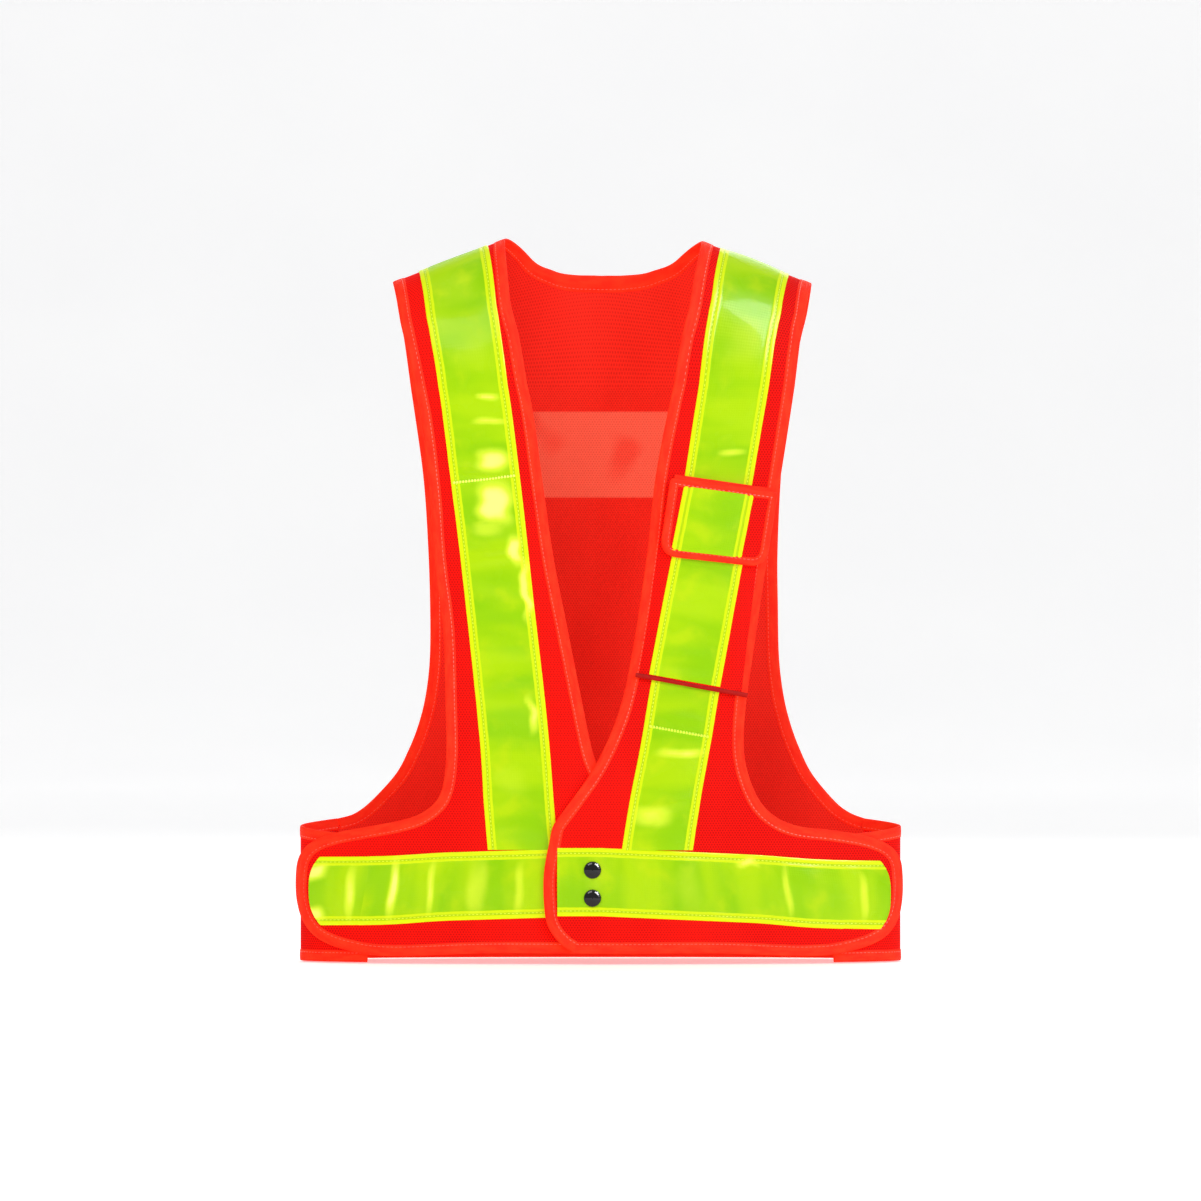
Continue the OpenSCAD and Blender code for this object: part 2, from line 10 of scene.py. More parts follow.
import bpy
import numpy as np
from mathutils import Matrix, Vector


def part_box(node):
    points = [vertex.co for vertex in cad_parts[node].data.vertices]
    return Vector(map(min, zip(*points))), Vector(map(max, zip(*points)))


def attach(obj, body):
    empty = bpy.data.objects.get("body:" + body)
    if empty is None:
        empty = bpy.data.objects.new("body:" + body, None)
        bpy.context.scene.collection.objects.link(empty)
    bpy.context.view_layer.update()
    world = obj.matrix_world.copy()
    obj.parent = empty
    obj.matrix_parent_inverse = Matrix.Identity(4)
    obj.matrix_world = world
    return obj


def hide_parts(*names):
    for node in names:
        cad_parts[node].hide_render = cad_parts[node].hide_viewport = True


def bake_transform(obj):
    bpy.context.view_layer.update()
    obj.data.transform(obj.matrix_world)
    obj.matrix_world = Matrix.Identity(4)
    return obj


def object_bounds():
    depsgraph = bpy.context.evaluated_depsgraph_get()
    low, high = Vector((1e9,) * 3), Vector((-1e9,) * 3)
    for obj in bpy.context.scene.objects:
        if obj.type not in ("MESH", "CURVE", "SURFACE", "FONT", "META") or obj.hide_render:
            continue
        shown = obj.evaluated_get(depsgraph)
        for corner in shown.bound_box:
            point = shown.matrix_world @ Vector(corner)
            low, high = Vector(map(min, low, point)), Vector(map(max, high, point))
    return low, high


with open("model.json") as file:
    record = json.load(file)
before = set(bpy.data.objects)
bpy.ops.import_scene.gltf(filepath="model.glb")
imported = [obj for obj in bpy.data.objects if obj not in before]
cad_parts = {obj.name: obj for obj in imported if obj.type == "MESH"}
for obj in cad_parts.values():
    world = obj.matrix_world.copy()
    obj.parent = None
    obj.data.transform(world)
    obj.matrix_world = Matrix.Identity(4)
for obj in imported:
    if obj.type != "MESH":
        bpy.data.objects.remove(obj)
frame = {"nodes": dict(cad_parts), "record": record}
cad_lo, cad_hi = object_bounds()

MM = 0.001
RECORD = frame["record"]
MOUNTS = {m["name"]: m for m in RECORD["mounts"]}


def box_mm(node):
    """Lowest and highest corner of a CAD node, in millimetres."""
    lo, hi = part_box(node)
    return np.array(lo) / MM, np.array(hi) / MM


# ---- Sizes taken from the frame ----

HEM_LO, HEM_HI = box_mm("back_hem_binding")
HEM_T = 2.0
SHIFT_Y = MOUNTS["left_hanger_seat"]["pos_m"][1] / MM
HALF_W = (HEM_HI[0] - HEM_LO[0]) / 2 - HEM_T
HALF_D = HEM_HI[1] - SHIFT_Y - HEM_T
PEAK_Z = cad_hi.z / MM - 2.5
DRAWN_W, DRAWN_PEAK = 534.0, 633.0
KX, KZ = 2 * HALF_W / DRAWN_W, PEAK_Z / DRAWN_PEAK

SQUARENESS = 2.6
FALL = 0.4
NECK_ROUND = 30.0
PEAK_X = 85.0
ROUND_Z = 505.0
SHOULDER_S = 130.0
CROWN_Z = PEAK_Z + FALL * math.hypot(PEAK_X, NECK_ROUND)

TAB_LIFT = 3.6
OVERLAP_LIFT = 5.4
LIFT_FROM_Z, LIFT_RUN = 190.0, 60.0
OVERLAP_FROM_Z, OVERLAP_RUN = 260.0, 80.0
OVERLAP_FROM_X, OVERLAP_SIDE = 150.0, 100.0
NO_LIFT, RIGHT, LEFT = -1, 0, 1

MESH_T = 0.9
BINDING_W, BINDING_T = 10.0, 2.1
# Distance of a binding's stitches from its inner edge
BINDING_SEAM = 2.0
FLAP_BINDING_W = 7.4
TAPE_W = 60.0
# Height at which the upper and the lower cloth of a front meet
CUT_Z = 282.0

SNAP_LO, SNAP_HI = box_mm("snap_caps")
SNAP_X = (SNAP_LO[0] + SNAP_HI[0]) / 2
SNAP_Z = (SNAP_LO[2] + SNAP_HI[2]) / 2
CHEST_LO, CHEST_HI = box_mm("back_chest_tape")

rng = np.random.default_rng(7)


# ---- The cloth surface ----

def smooth(t):
    t = np.clip(t, 0, 1)
    return t * t * (3 - 2 * t)


def ridge(x):
    return CROWN_Z - FALL * np.hypot(x, NECK_ROUND)


def fullness(x):
    return np.sqrt(np.clip(1 - (np.abs(x) / HALF_W) ** SQUARENESS, 0, 1))


def way_down(x, z):
    above = np.clip((z - ROUND_Z) / (ridge(x) - ROUND_Z), 0, 1)
    return np.where(z < ROUND_Z, SHOULDER_S + ROUND_Z - z, SHOULDER_S * np.degrees(np.arccos(above)) / 90)


def lift(x, z, over):
    """How far a front stands off the body: over the wings, and the left one over the right one."""
    if over == NO_LIFT:
        return np.zeros_like(z)
    low = TAB_LIFT * smooth((LIFT_FROM_Z - z) / LIFT_RUN)
    side = smooth((OVERLAP_FROM_X - x) / OVERLAP_SIDE)
    return low + over * OVERLAP_LIFT * side * smooth((OVERLAP_FROM_Z - z) / OVERLAP_RUN)


def drape(x, z, side):
    """Soft waves of the worn cloth, shared by all layers so that they never cross."""
    wave = (np.sin(x / 23 + z / 61 + side) + 0.7 * np.sin(x / 41 - z / 37 + 2 * side)
            + 0.5 * np.sin(x / 13 + z / 90 + 1.7))
    calm = 1 - np.exp(-((x - SNAP_X) ** 2 + (z - SNAP_Z) ** 2) / (2 * 45 ** 2))
    calm = np.where(side < 0, calm, 1)
    return 0.8 * wave * calm * smooth((z - 8) / 60)


def cloth(x, s, h, over=NO_LIFT):
    """Points in metres for cloth coordinates and heights in millimetres."""
    x, s, h = np.broadcast_arrays(np.asarray(x, float), np.asarray(s, float), np.asarray(h, float))
    way = np.abs(s)
    angle = np.radians(90 * np.minimum(way / SHOULDER_S, 1))
    z = ROUND_Z + np.where(way < SHOULDER_S, (ridge(x) - ROUND_Z) * np.cos(angle), SHOULDER_S - way)
    side = np.where(s < 0, -1.0, 1.0)
    h = h + lift(x, z, over) + drape(x, z, side) * np.sin(angle)
    y = side * (HALF_D + h) * fullness(x) * np.sin(angle) + SHIFT_Y
    return np.stack([x * (HALF_W + h) / HALF_W, y, z + h * np.cos(angle)], axis=-1) * MM


def fold_point(turn, z, h):
    """Cloth near a side fold: turn is 0 at the front centre, 90 at the fold and 180 at the back."""
    turn, z, h = np.broadcast_arrays(np.asarray(turn, float), np.asarray(z, float), np.asarray(h, float))
    a = np.radians(turn)
    x = (HALF_W + h) * np.sin(a) ** (2 / SQUARENESS)
    y = -(HALF_D + h) * np.cos(a) + SHIFT_Y
    return np.stack([x, y, z], axis=-1) * MM


def turn_at(x):
    return np.degrees(np.arcsin((x / HALF_W) ** (SQUARENESS / 2)))


# Height of the camera, which the fronts are drawn for
EYE_Z = 316.5


def front(points, nearer=0.009):
    """Cloth points of the fronts; they are drawn as seen, so the nearer middle is drawn larger."""
    p = np.asarray(points, float) * [KX, KZ]
    share = 1 - nearer * fullness(p[:, 0]) * smooth((190 - np.abs(p[:, 0])) / 60)
    x = p[:, 0] * share
    z = EYE_Z + (p[:, 1] - EYE_Z) * share
    return np.stack([x, -way_down(x, z)], axis=-1)


def rear(points):
    p = np.asarray(points, float) * [KX, KZ]
    return np.stack([p[:, 0], way_down(p[:, 0], p[:, 1])], axis=-1)


# ---- Curves in the cloth plane ----

def spline(points, n):
    """Smooth curve through the points, n samples to each stretch."""
    p = np.asarray(points, float)
    p = np.vstack([p[:1], p, p[-1:]])
    t = np.arange(n)[:, None] / n
    out = []
    for a, b, c, d in zip(p[:-3], p[1:-2], p[2:-1], p[3:]):
        out.append(0.5 * (2 * b + (c - a) * t + (2 * a - 5 * b + 4 * c - d) * t ** 2
                          + (3 * b - a - 3 * c + d) * t ** 3))
    return np.vstack(out + [p[-1:]])


def evenly(path, step):
    """The path resampled at about equal steps."""
    d = np.r_[0, np.cumsum(np.linalg.norm(np.diff(path, axis=0), axis=1))]
    at = np.linspace(0, d[-1], max(int(round(d[-1] / step)), 2) + 1)
    return np.stack([np.interp(at, d, path[:, k]) for k in range(path.shape[1])], axis=-1)


def normals(path):
    """Unit normals to the left of the path."""
    d = np.gradient(path, axis=0)
    d /= np.linalg.norm(d, axis=1)[:, None]
    return np.stack([-d[:, 1], d[:, 0]], axis=-1)


def lengths(path):
    return np.r_[0, np.cumsum(np.linalg.norm(np.diff(path, axis=0), axis=1))]


def mirrored(path):
    return path * [-1, 1]


# ---- Mesh making ----

SHARP = math.radians(55)


def new_object(name, points, faces, uv=None, face_slots=None, materials=()):
    mesh = bpy.data.meshes.new(name)
    mesh.from_pydata(np.asarray(points).tolist(), [], [list(map(int, f)) for f in faces])
    mesh.update()
    mesh.polygons.foreach_set("use_smooth", [True] * len(mesh.polygons))
    if uv is not None:
        layer = mesh.uv_layers.new(name="cloth")
        index = np.empty(len(mesh.loops), np.int32)
        mesh.loops.foreach_get("vertex_index", index)
        layer.data.foreach_set("uv", (np.asarray(uv)[index] * MM).astype(np.float32).ravel())
    for m in materials:
        mesh.materials.append(m)
    if face_slots is not None:
        mesh.polygons.foreach_set("material_index", face_slots)
    mesh.set_sharp_from_angle(angle=SHARP)
    obj = bpy.data.objects.new(name, mesh)
    bpy.context.scene.collection.objects.link(obj)
    return obj


def grid_faces(rows, cols, base=0, closed_rows=False, closed_cols=False, flip=False):
    """Quads of a grid of points numbered row by row."""
    i, j = np.meshgrid(np.arange(rows if closed_rows else rows - 1),
                       np.arange(cols if closed_cols else cols - 1), indexing="ij")
    i, j = i.ravel(), j.ravel()
    i2, j2 = (i + 1) % rows, (j + 1) % cols
    quads = np.stack([i * cols + j, i * cols + j2, i2 * cols + j2, i2 * cols + j], axis=-1) + base
    return quads[:, ::-1] if flip else quads


def outward(points, faces, up):
    """The faces turned so that the first ones look along up."""
    a, b, c = (points[faces[0][k]] for k in (0, 1, 2))
    return faces if np.dot(np.cross(b - a, c - a), up) > 0 else [f[::-1] for f in faces]


class Draft:
    """Points, faces, cloth coordinates and material slots of a piece, before it is made."""

    def __init__(self, points, faces, uv):
        self.points, self.faces, self.uv = points, faces, uv
        self.slots = [0] * len(faces)

    def sew(self, line, surface, height, **thread):
        """Adds a line of thread over a surface, in the second material."""
        points, faces = stitches_on(lambda q, up: surface(q, height + up), line, len(self.points), **thread)
        self.points = np.vstack([self.points, points])
        self.uv = np.vstack([self.uv, np.zeros((len(points), 2))])
        self.faces += faces
        self.slots += [1] * len(faces)

    def make(self, name, *materials):
        return new_object(name, self.points, self.faces, self.uv, self.slots, materials)


def sheet_draft(low, high, uv):
    """Closed sheet between two grids of points, low inside and high outside."""
    rows, cols = low.shape[:2]
    points = np.vstack([high.reshape(-1, 3), low.reshape(-1, 3)])
    size = rows * cols
    ids = np.arange(size).reshape(rows, cols)
    rim = np.r_[ids[0, :-1], ids[:-1, -1], ids[-1, :0:-1], ids[:0:-1, 0]]
    nxt = np.roll(rim, -1)
    wall = np.stack([nxt, rim, rim + size, nxt + size], axis=-1)
    quads = [grid_faces(rows, cols), grid_faces(rows, cols, base=size, flip=True), wall]
    faces = outward(points, [list(f) for f in np.vstack(quads)], points[0] - points[size])
    uv = uv.reshape(-1, 2)
    return Draft(points, faces, np.vstack([uv, uv]))


def even(n):
    return np.linspace(0, 1, n + 1)


def binding_profile(w, t):
    """Cross-section of a folded binding: across the width, and above the middle of the cloth."""
    half = t / 2
    top = [(w, 0.50 * half), (w - 0.5, 0.86 * half), (w - 1.3, 0.92 * half), (w - 2.0, 0.80 * half),
           (w - 2.8, 0.97 * half), (w * 0.45, 1.06 * half), (w * 0.2, 1.02 * half), (0.6, 0.8 * half),
           (0.05, 0.35 * half)]
    return np.array(top + [(v, -k) for v, k in top[::-1]])


STITCH = 2.7
STITCH_PITCH = 3.7


def stitch_parts(spots, along, up, base, length=STITCH, thick=0.32):
    """Small spindles of thread at the spots (n, 3), in metres."""
    across = np.cross(up, along)
    count = len(spots)
    a = np.radians(np.arange(5) * 72)
    ring = (np.cos(a)[None, :, None] * across[:, None, :] * 1.25
            + np.sin(a)[None, :, None] * up[:, None, :]) * thick * MM
    half = along[:, None, :] * length * MM / 2
    centre = spots[:, None, :]
    parts = np.concatenate([centre - half, centre - half * 0.55 + ring, centre + half * 0.55 + ring,
                            centre + half], axis=1)
    faces = []
    for k in range(5):
        n = (k + 1) % 5
        faces += [(0, 1 + n, 1 + k), (1 + k, 1 + n, 6 + n, 6 + k), (6 + k, 6 + n, 11)]
    step = parts.shape[1]
    all_faces = [[base + i * step + v for v in f] for i in range(count) for f in faces]
    return parts.reshape(-1, 3), all_faces


def stitches_on(surface, path, base, pitch=STITCH_PITCH, length=STITCH, thick=0.32):
    """Thread along a path; surface gives points for (path, height)."""
    line = evenly(path, pitch / 3)
    points = surface(line, 0.0)
    raised = surface(line, 1.0)
    middle = np.arange(1, len(line) - 1, 3)
    along = points[middle + 1] - points[middle - 1]
    along /= np.linalg.norm(along, axis=1)[:, None]
    up = raised[middle] - points[middle]
    up /= np.linalg.norm(up, axis=1)[:, None]
    return stitch_parts(points[middle], along, up, base, length, thick)


def tube(name, path, profile, surface, materials, seams=(), closed=False, step=3.0):
    """Sweeps a cross-section along a cloth path, with lines of stitches at the given places across.

    surface(points, height) gives points in metres. seams holds (place across, height) pairs."""
    path = evenly(path, step)
    if closed:
        path = path[:-1]
    n = normals(np.vstack([path[-1:], path, path[:1]]))[1:-1] if closed else normals(path)
    v, k = profile[:, 0], profile[:, 1]
    p = path[:, None, :] + n[:, None, :] * v[None, :, None]
    points = surface(p, k[None, :])
    rows, cols = points.shape[:2]
    points = points.reshape(-1, 3)
    faces = [list(f) for f in grid_faces(rows, cols, closed_rows=closed, closed_cols=True)]
    centre = points.reshape(rows, cols, 3).mean(1)
    faces = outward(points, faces, points[0] - centre[0])
    if not closed:
        ends = [list(range(cols)), [(rows - 1) * cols + c for c in range(cols)][::-1]]
        first = points[ends[0][1]] - points[ends[0][0]]
        turned = np.dot(np.cross(first, points[ends[0][2]] - points[ends[0][1]]), centre[1] - centre[0]) > 0
        faces += [e[::-1] for e in ends] if turned else ends
    uv = np.stack([np.repeat(lengths(path), cols), np.tile(v, rows)], axis=-1)
    draft = Draft(points, faces, uv)
    for place, height in seams:
        line = path + n * place
        draft.sew(np.vstack([line, line[:1]]) if closed else line, surface, height)
    return draft.make(name, *materials)


def on_cloth(over, base=0.0):
    """A surface for tube() that lies on the cloth at height base."""
    return lambda p, k: cloth(p[..., 0], p[..., 1], base + k, over)


# ---- Outlines of the vest, (x, z) in drawn millimetres ----

LEFT_EDGE = [[-10, 5.8], [-26, 8.4], [-37.5, 17.6], [-45, 29], [-48.3, 44], [-49, 75], [-44, 105],
             [-41, 118], [-33, 130], [-22, 145], [-2, 176], [18, 224], [30, 280], [41, 355],
             [49, 425], [62, 490], [72, 545], [82, 590]]
RIGHT_EDGE = [[2, 6.5], [18, 15], [26, 38], [27, 75], [24, 108], [20, 122], [15, 134], [7, 152],
              [-6, 180], [-17, 230], [-29, 290], [-42, 355], [-51, 415], [-61, 486], [-72, 545],
              [-82, 590]]
LEFT_ARM = [[205, 115.5], [171, 119.5], [150, 129], [136, 147], [127, 180], [128, 220], [136, 272],
            [148, 345], [158.5, 415], [167.5, 480], [177, 545], [182.5, 570]]
RIGHT_ARM = [[-205, 118.5], [-175, 124], [-155, 131], [-141, 146], [-137, 178], [-138, 232],
             [-140.5, 290], [-148, 352], [-152, 415], [-160, 480], [-174, 545], [-179, 570]]
LEFT_BACK_ARM = [[236, 124], [223, 129], [210, 139], [190, 163], [179, 185], [171, 207], [165, 232],
                 [161, 265], [159.5, 310], [158.5, 360], [161, 420], [167, 480], [179.5, 545], [186, 575]]
RIGHT_BACK_ARM = [[-236, 124], [-220, 128.5], [-203, 141], [-183, 163], [-172, 185], [-164, 207],
                  [-158, 232], [-154, 265], [-153, 310], [-154, 360], [-158, 420], [-166, 480],
                  [-175, 545], [-181, 575]]
LEFT_NECK = [[0, 604], [22, 604.5], [46, 607.5], [70, 618]]
RIGHT_NECK = [[0, 604], [-22, 604.5], [-42, 608], [-63, 619]]
HEM = [[100, 6], [183, 5.5]]
LEFT_TAB_END = [[222, 10.5], [247, 20], [260, 34], [265.5, 52], [266, 73], [263, 90], [253, 102],
                [234, 110]]
RIGHT_TAB_END = [[-222, 10.5], [-247, 20], [-260, 34], [-265.5, 52], [-266, 73], [-263, 91],
                 [-253, 104], [-234, 112.5]]
SEAM_X, SEAM_Z, SEAM_LEAN = 205.0, 70.0, 0.154
HEM_CLEAR = 11.0
WING_X, WING_TOP = 236.0, 124.0
WING_FRONT_TURN = 46.0
WING_FRONT_TOP = 110.0
LEFT_PEAK = [[90 * KX, 0]]
RIGHT_PEAK = [[-84 * KX, 0]]
LEFT_TIP = [[188 * KX, 0]]
RIGHT_TIP = [[-185 * KX, 0]]


def seam(z, side):
    """Cloth points on the line at which a front becomes its tab."""
    z = np.asarray(z, float)
    return front(np.stack([side * (SEAM_X - SEAM_LEAN * (z - SEAM_Z)), z], axis=-1), 0.0)


def level(z, x=0.0):
    return -float(way_down(np.float64(x), np.float64(z)))


def height_of(s):
    """Height of cloth hanging straight down in front."""
    return ROUND_Z + SHOULDER_S + s


CUT_S = level(CUT_Z)


def full_rim(side, neck, peak, edge, tab, arm, tip, back_arm):
    """One smooth line: back neckline, centre edge, hem, tab end, armhole and back armhole."""
    flip = [side, 1]
    points = np.vstack([rear(neck), peak, front(edge[::-1]),
                        front(np.array(HEM) * flip), front(tab), front(arm), tip,
                        rear(back_arm[::-1])])
    return evenly(spline(points, 12), 2.0)


def crossings(value):
    """Places along a path, as fractional indices, at which a value changes sign."""
    k = np.nonzero(np.sign(value[:-1]) * np.sign(value[1:]) < 0)[0]
    return k + value[k] / (value[k] - value[k + 1])


def between(path, start, end):
    inner = np.arange(int(start) + 1, int(np.ceil(end)))
    at = np.r_[start, inner, end]
    i = np.arange(len(path))
    return np.stack([np.interp(at, i, path[:, k]) for k in (0, 1)], axis=-1)


class Rim:
    """The outline of one front, cut into the parts that move apart; all run the way of the line."""

    def __init__(self, side, *outlines):
        path = full_rim(side, *outlines)
        x, s = path[:, 0], path[:, 1]
        ridges = crossings(s)
        cuts = crossings(s - CUT_S)
        z = height_of(s) / KZ
        beyond = side * x - KX * (SEAM_X - SEAM_LEAN * (z - SEAM_Z))
        seams = crossings(np.where(s < level(200.0), beyond, -1.0))
        self.side = side
        self.neck = between(path, 0, ridges[0])
        self.edge_high = between(path, ridges[0], cuts[0])
        self.edge_low = between(path, cuts[0], seams[0])
        self.tab = between(path, seams[0], seams[-1])
        self.arm_low = between(path, seams[-1], cuts[-1])
        self.arm_high = between(path, cuts[-1], ridges[-1])
        self.arm_back = between(path, ridges[-1], len(path) - 1)
        self.word = "left" if side > 0 else "right"
        self.over = LEFT if side > 0 else RIGHT


left_rim = Rim(1, LEFT_NECK, LEFT_PEAK, LEFT_EDGE, LEFT_TAB_END, LEFT_ARM, LEFT_TIP, LEFT_BACK_ARM)
right_rim = Rim(-1, RIGHT_NECK, RIGHT_PEAK, RIGHT_EDGE, RIGHT_TAB_END, RIGHT_ARM, RIGHT_TIP,
                RIGHT_BACK_ARM)


def inset(path, d):
    p = evenly(path, 3)
    return p + normals(p) * d


def at_levels(path, levels):
    """Points of a path at the given ways down; the path runs upwards."""
    s = np.maximum.accumulate(path[:, 1])
    return np.stack([np.interp(levels, s + np.arange(len(s)) * 1e-6, path[:, 0]), levels], axis=-1)


# ---- Materials ----

def srgb(r, g, b):
    """Linear colour from 0..255 values."""
    c = np.array([r, g, b]) / 255
    lin = np.where(c <= 0.04045, c / 12.92, ((c + 0.055) / 1.055) ** 2.4)
    return (*lin.tolist(), 1.0)


class Look:
    """A procedural material; its methods add one node and give back the output socket."""

    def __init__(self, name, roughness=0.5, **inputs):
        self.material = bpy.data.materials.new(name)
        self.material.use_nodes = True
        self.tree = self.material.node_tree
        self.shader = self.tree.nodes["Principled BSDF"]
        self.put(self.shader, "Roughness", roughness)
        for key, value in inputs.items():
            self.put(self.shader, key.replace("_", " "), value)

    def put(self, node, key, value):
        if isinstance(value, bpy.types.NodeSocket):
            self.tree.links.new(value, node.inputs[key])
        else:
            node.inputs[key].default_value = value

    def node(self, kind, inputs, out=0, **settings):
        n = self.tree.nodes.new("ShaderNode" + kind)
        for key, value in settings.items():
            setattr(n, key, value)
        for key, value in inputs.items():
            self.put(n, key, value)
        return n.outputs[out]

    def math(self, operation, a, b=0.0, c=0.0):
        return self.node("Math", {0: a, 1: b, 2: c}, operation=operation)

    def add(self, a, b):
        return self.math("ADD", a, b)

    def sub(self, a, b):
        return self.math("SUBTRACT", a, b)

    def mul(self, a, b):
        return self.math("MULTIPLY", a, b)

    def size(self, value):
        return self.math("ABSOLUTE", value)

    def wave(self, value, pitch):
        return self.math("SINE", self.mul(value, 2 * math.pi / pitch))

    def cloth_xy(self):
        """Cloth coordinates in metres, from the UV layer."""
        uv = self.node("UVMap", {}, uv_map="cloth")
        both = self.tree.nodes.new("ShaderNodeSeparateXYZ")
        self.put(both, 0, uv)
        return uv, both.outputs[0], both.outputs[1]

    def noise(self, vector, scale, detail=2.0, roughness=0.5):
        return self.node("TexNoise", {"Vector": vector, "Scale": scale, "Detail": detail,
                                      "Roughness": roughness})

    def scaled(self, vector, scale):
        return self.node("Mapping", {"Vector": vector, "Scale": scale})

    def mix(self, factor, a, b):
        n = self.tree.nodes.new("ShaderNodeMix")
        n.data_type = "RGBA"
        self.put(n, 0, factor)
        self.put(n, 6, a)
        self.put(n, 7, b)
        return n.outputs[2]

    def band(self, value, low, high):
        """0 below low, 1 above high, smooth between."""
        n = self.tree.nodes.new("ShaderNodeMapRange")
        n.interpolation_type = "SMOOTHSTEP"
        self.put(n, "Value", value)
        self.put(n, "From Min", low)
        self.put(n, "From Max", high)
        return n.outputs[0]

    def bump(self, height, distance, strength=1.0):
        self.put(self.shader, "Normal", self.node(
            "Bump", {"Height": height, "Distance": distance, "Strength": strength}))

    def color(self, value, glow=0.0):
        self.put(self.shader, "Base Color", value)
        # Painted light: with glow, the base colour is also given off as emission, so the part glows though
        # it is no lamp and its shaded parts are lifted.
        if glow:
            self.put(self.shader, "Emission Color", value)
            self.put(self.shader, "Emission Strength", glow)
        return self.material


KNIT = 0.0024


def knit_holes(look, x, y):
    """Mask of the knitted mesh's holes, in rows set half a step apart."""
    row = look.math("DIVIDE", y, KNIT * 0.86)
    whole_row = look.math("FLOOR", look.add(row, 4000.0))
    half_step = look.mul(look.math("MODULO", whole_row, 2.0), 0.5)
    u = look.sub(look.math("FRACT", look.add(look.math("DIVIDE", x, KNIT), half_step)), 0.5)
    v = look.sub(look.math("FRACT", row), 0.5)
    away = look.math("SQRT", look.add(look.mul(u, u), look.mul(look.mul(v, v), 0.75)))
    return look.band(away, 0.34, 0.22)


def mesh_look(name, tone, deep, contrast, show_tape=False):
    """Knitted polyester mesh with small holes, broad colour changes, a soft sheen and a painted glow: its
    colour is also given off as weak emission, standing in for the fluorescent dye and lifting its shaded
    parts.
    """
    look = Look(name, 0.75, Specular_IOR_Level=0.03)
    uv, x, y = look.cloth_xy()
    hole = knit_holes(look, x, y)
    broad = look.noise(look.scaled(uv, (9, 5, 1)), 1.0, 3.0)
    fine = look.noise(uv, 700.0, 2.0)
    base = look.mix(look.band(broad, 0.35, 0.65), tone, deep)
    if show_tape:
        mid_s = float(way_down(0.0, (CHEST_LO[2] + CHEST_HI[2]) / 2)) * MM
        half_s = (CHEST_HI[2] - CHEST_LO[2]) / 2 * MM
        half_x = (CHEST_HI[0] - CHEST_LO[0]) / 2 * MM
        in_x = look.band(look.size(x), half_x + 0.001, half_x - 0.001)
        off = look.size(look.sub(y, mid_s))
        inside = look.mul(in_x, look.band(off, half_s + 0.001, half_s - 0.001))
        worn = look.band(look.noise(uv, 15.0, 1.0), 0.62, 0.5)
        through = look.mul(inside, look.math("MULTIPLY_ADD", worn, 0.35, 0.36))
        base = look.mix(through, base, srgb(250, 116, 88))
    base = look.mix(look.mul(fine, 0.08), base, srgb(255, 60, 35))
    base = look.mix(look.mul(hole, contrast), base, srgb(140, 3, 5))
    thread = look.noise(look.scaled(uv, (2600, 900, 1)), 1.0, 1.0)
    height = look.sub(look.mul(thread, 0.3), hole)
    look.bump(height, 0.0003, 0.8)
    return look.color(base, 0.16)


def binding_look():
    """Woven binding tape: fine ribs across, a brighter red than the mesh."""
    look = Look("binding_weave", 0.6, Specular_IOR_Level=0.05)
    uv, along, across = look.cloth_xy()
    rib = look.wave(along, 0.0011)
    warp = look.wave(across, 0.0008)
    weave = look.mul(rib, warp)
    patchy = look.noise(look.scaled(uv, (60, 200, 1)), 1.0, 3.0)
    base = look.mix(look.band(patchy, 0.3, 0.7), srgb(255, 42, 18), srgb(255, 58, 26))
    base = look.mix(look.band(weave, 0.2, 0.9), base, srgb(236, 26, 10))
    look.bump(look.add(weave, look.mul(patchy, 1.5)), 0.00018, 0.7)
    # Painted glow: the colour is also given off as weak emission, standing in for the fluorescent dye and
    # lifting shaded parts.
    return look.color(base, 0.16)


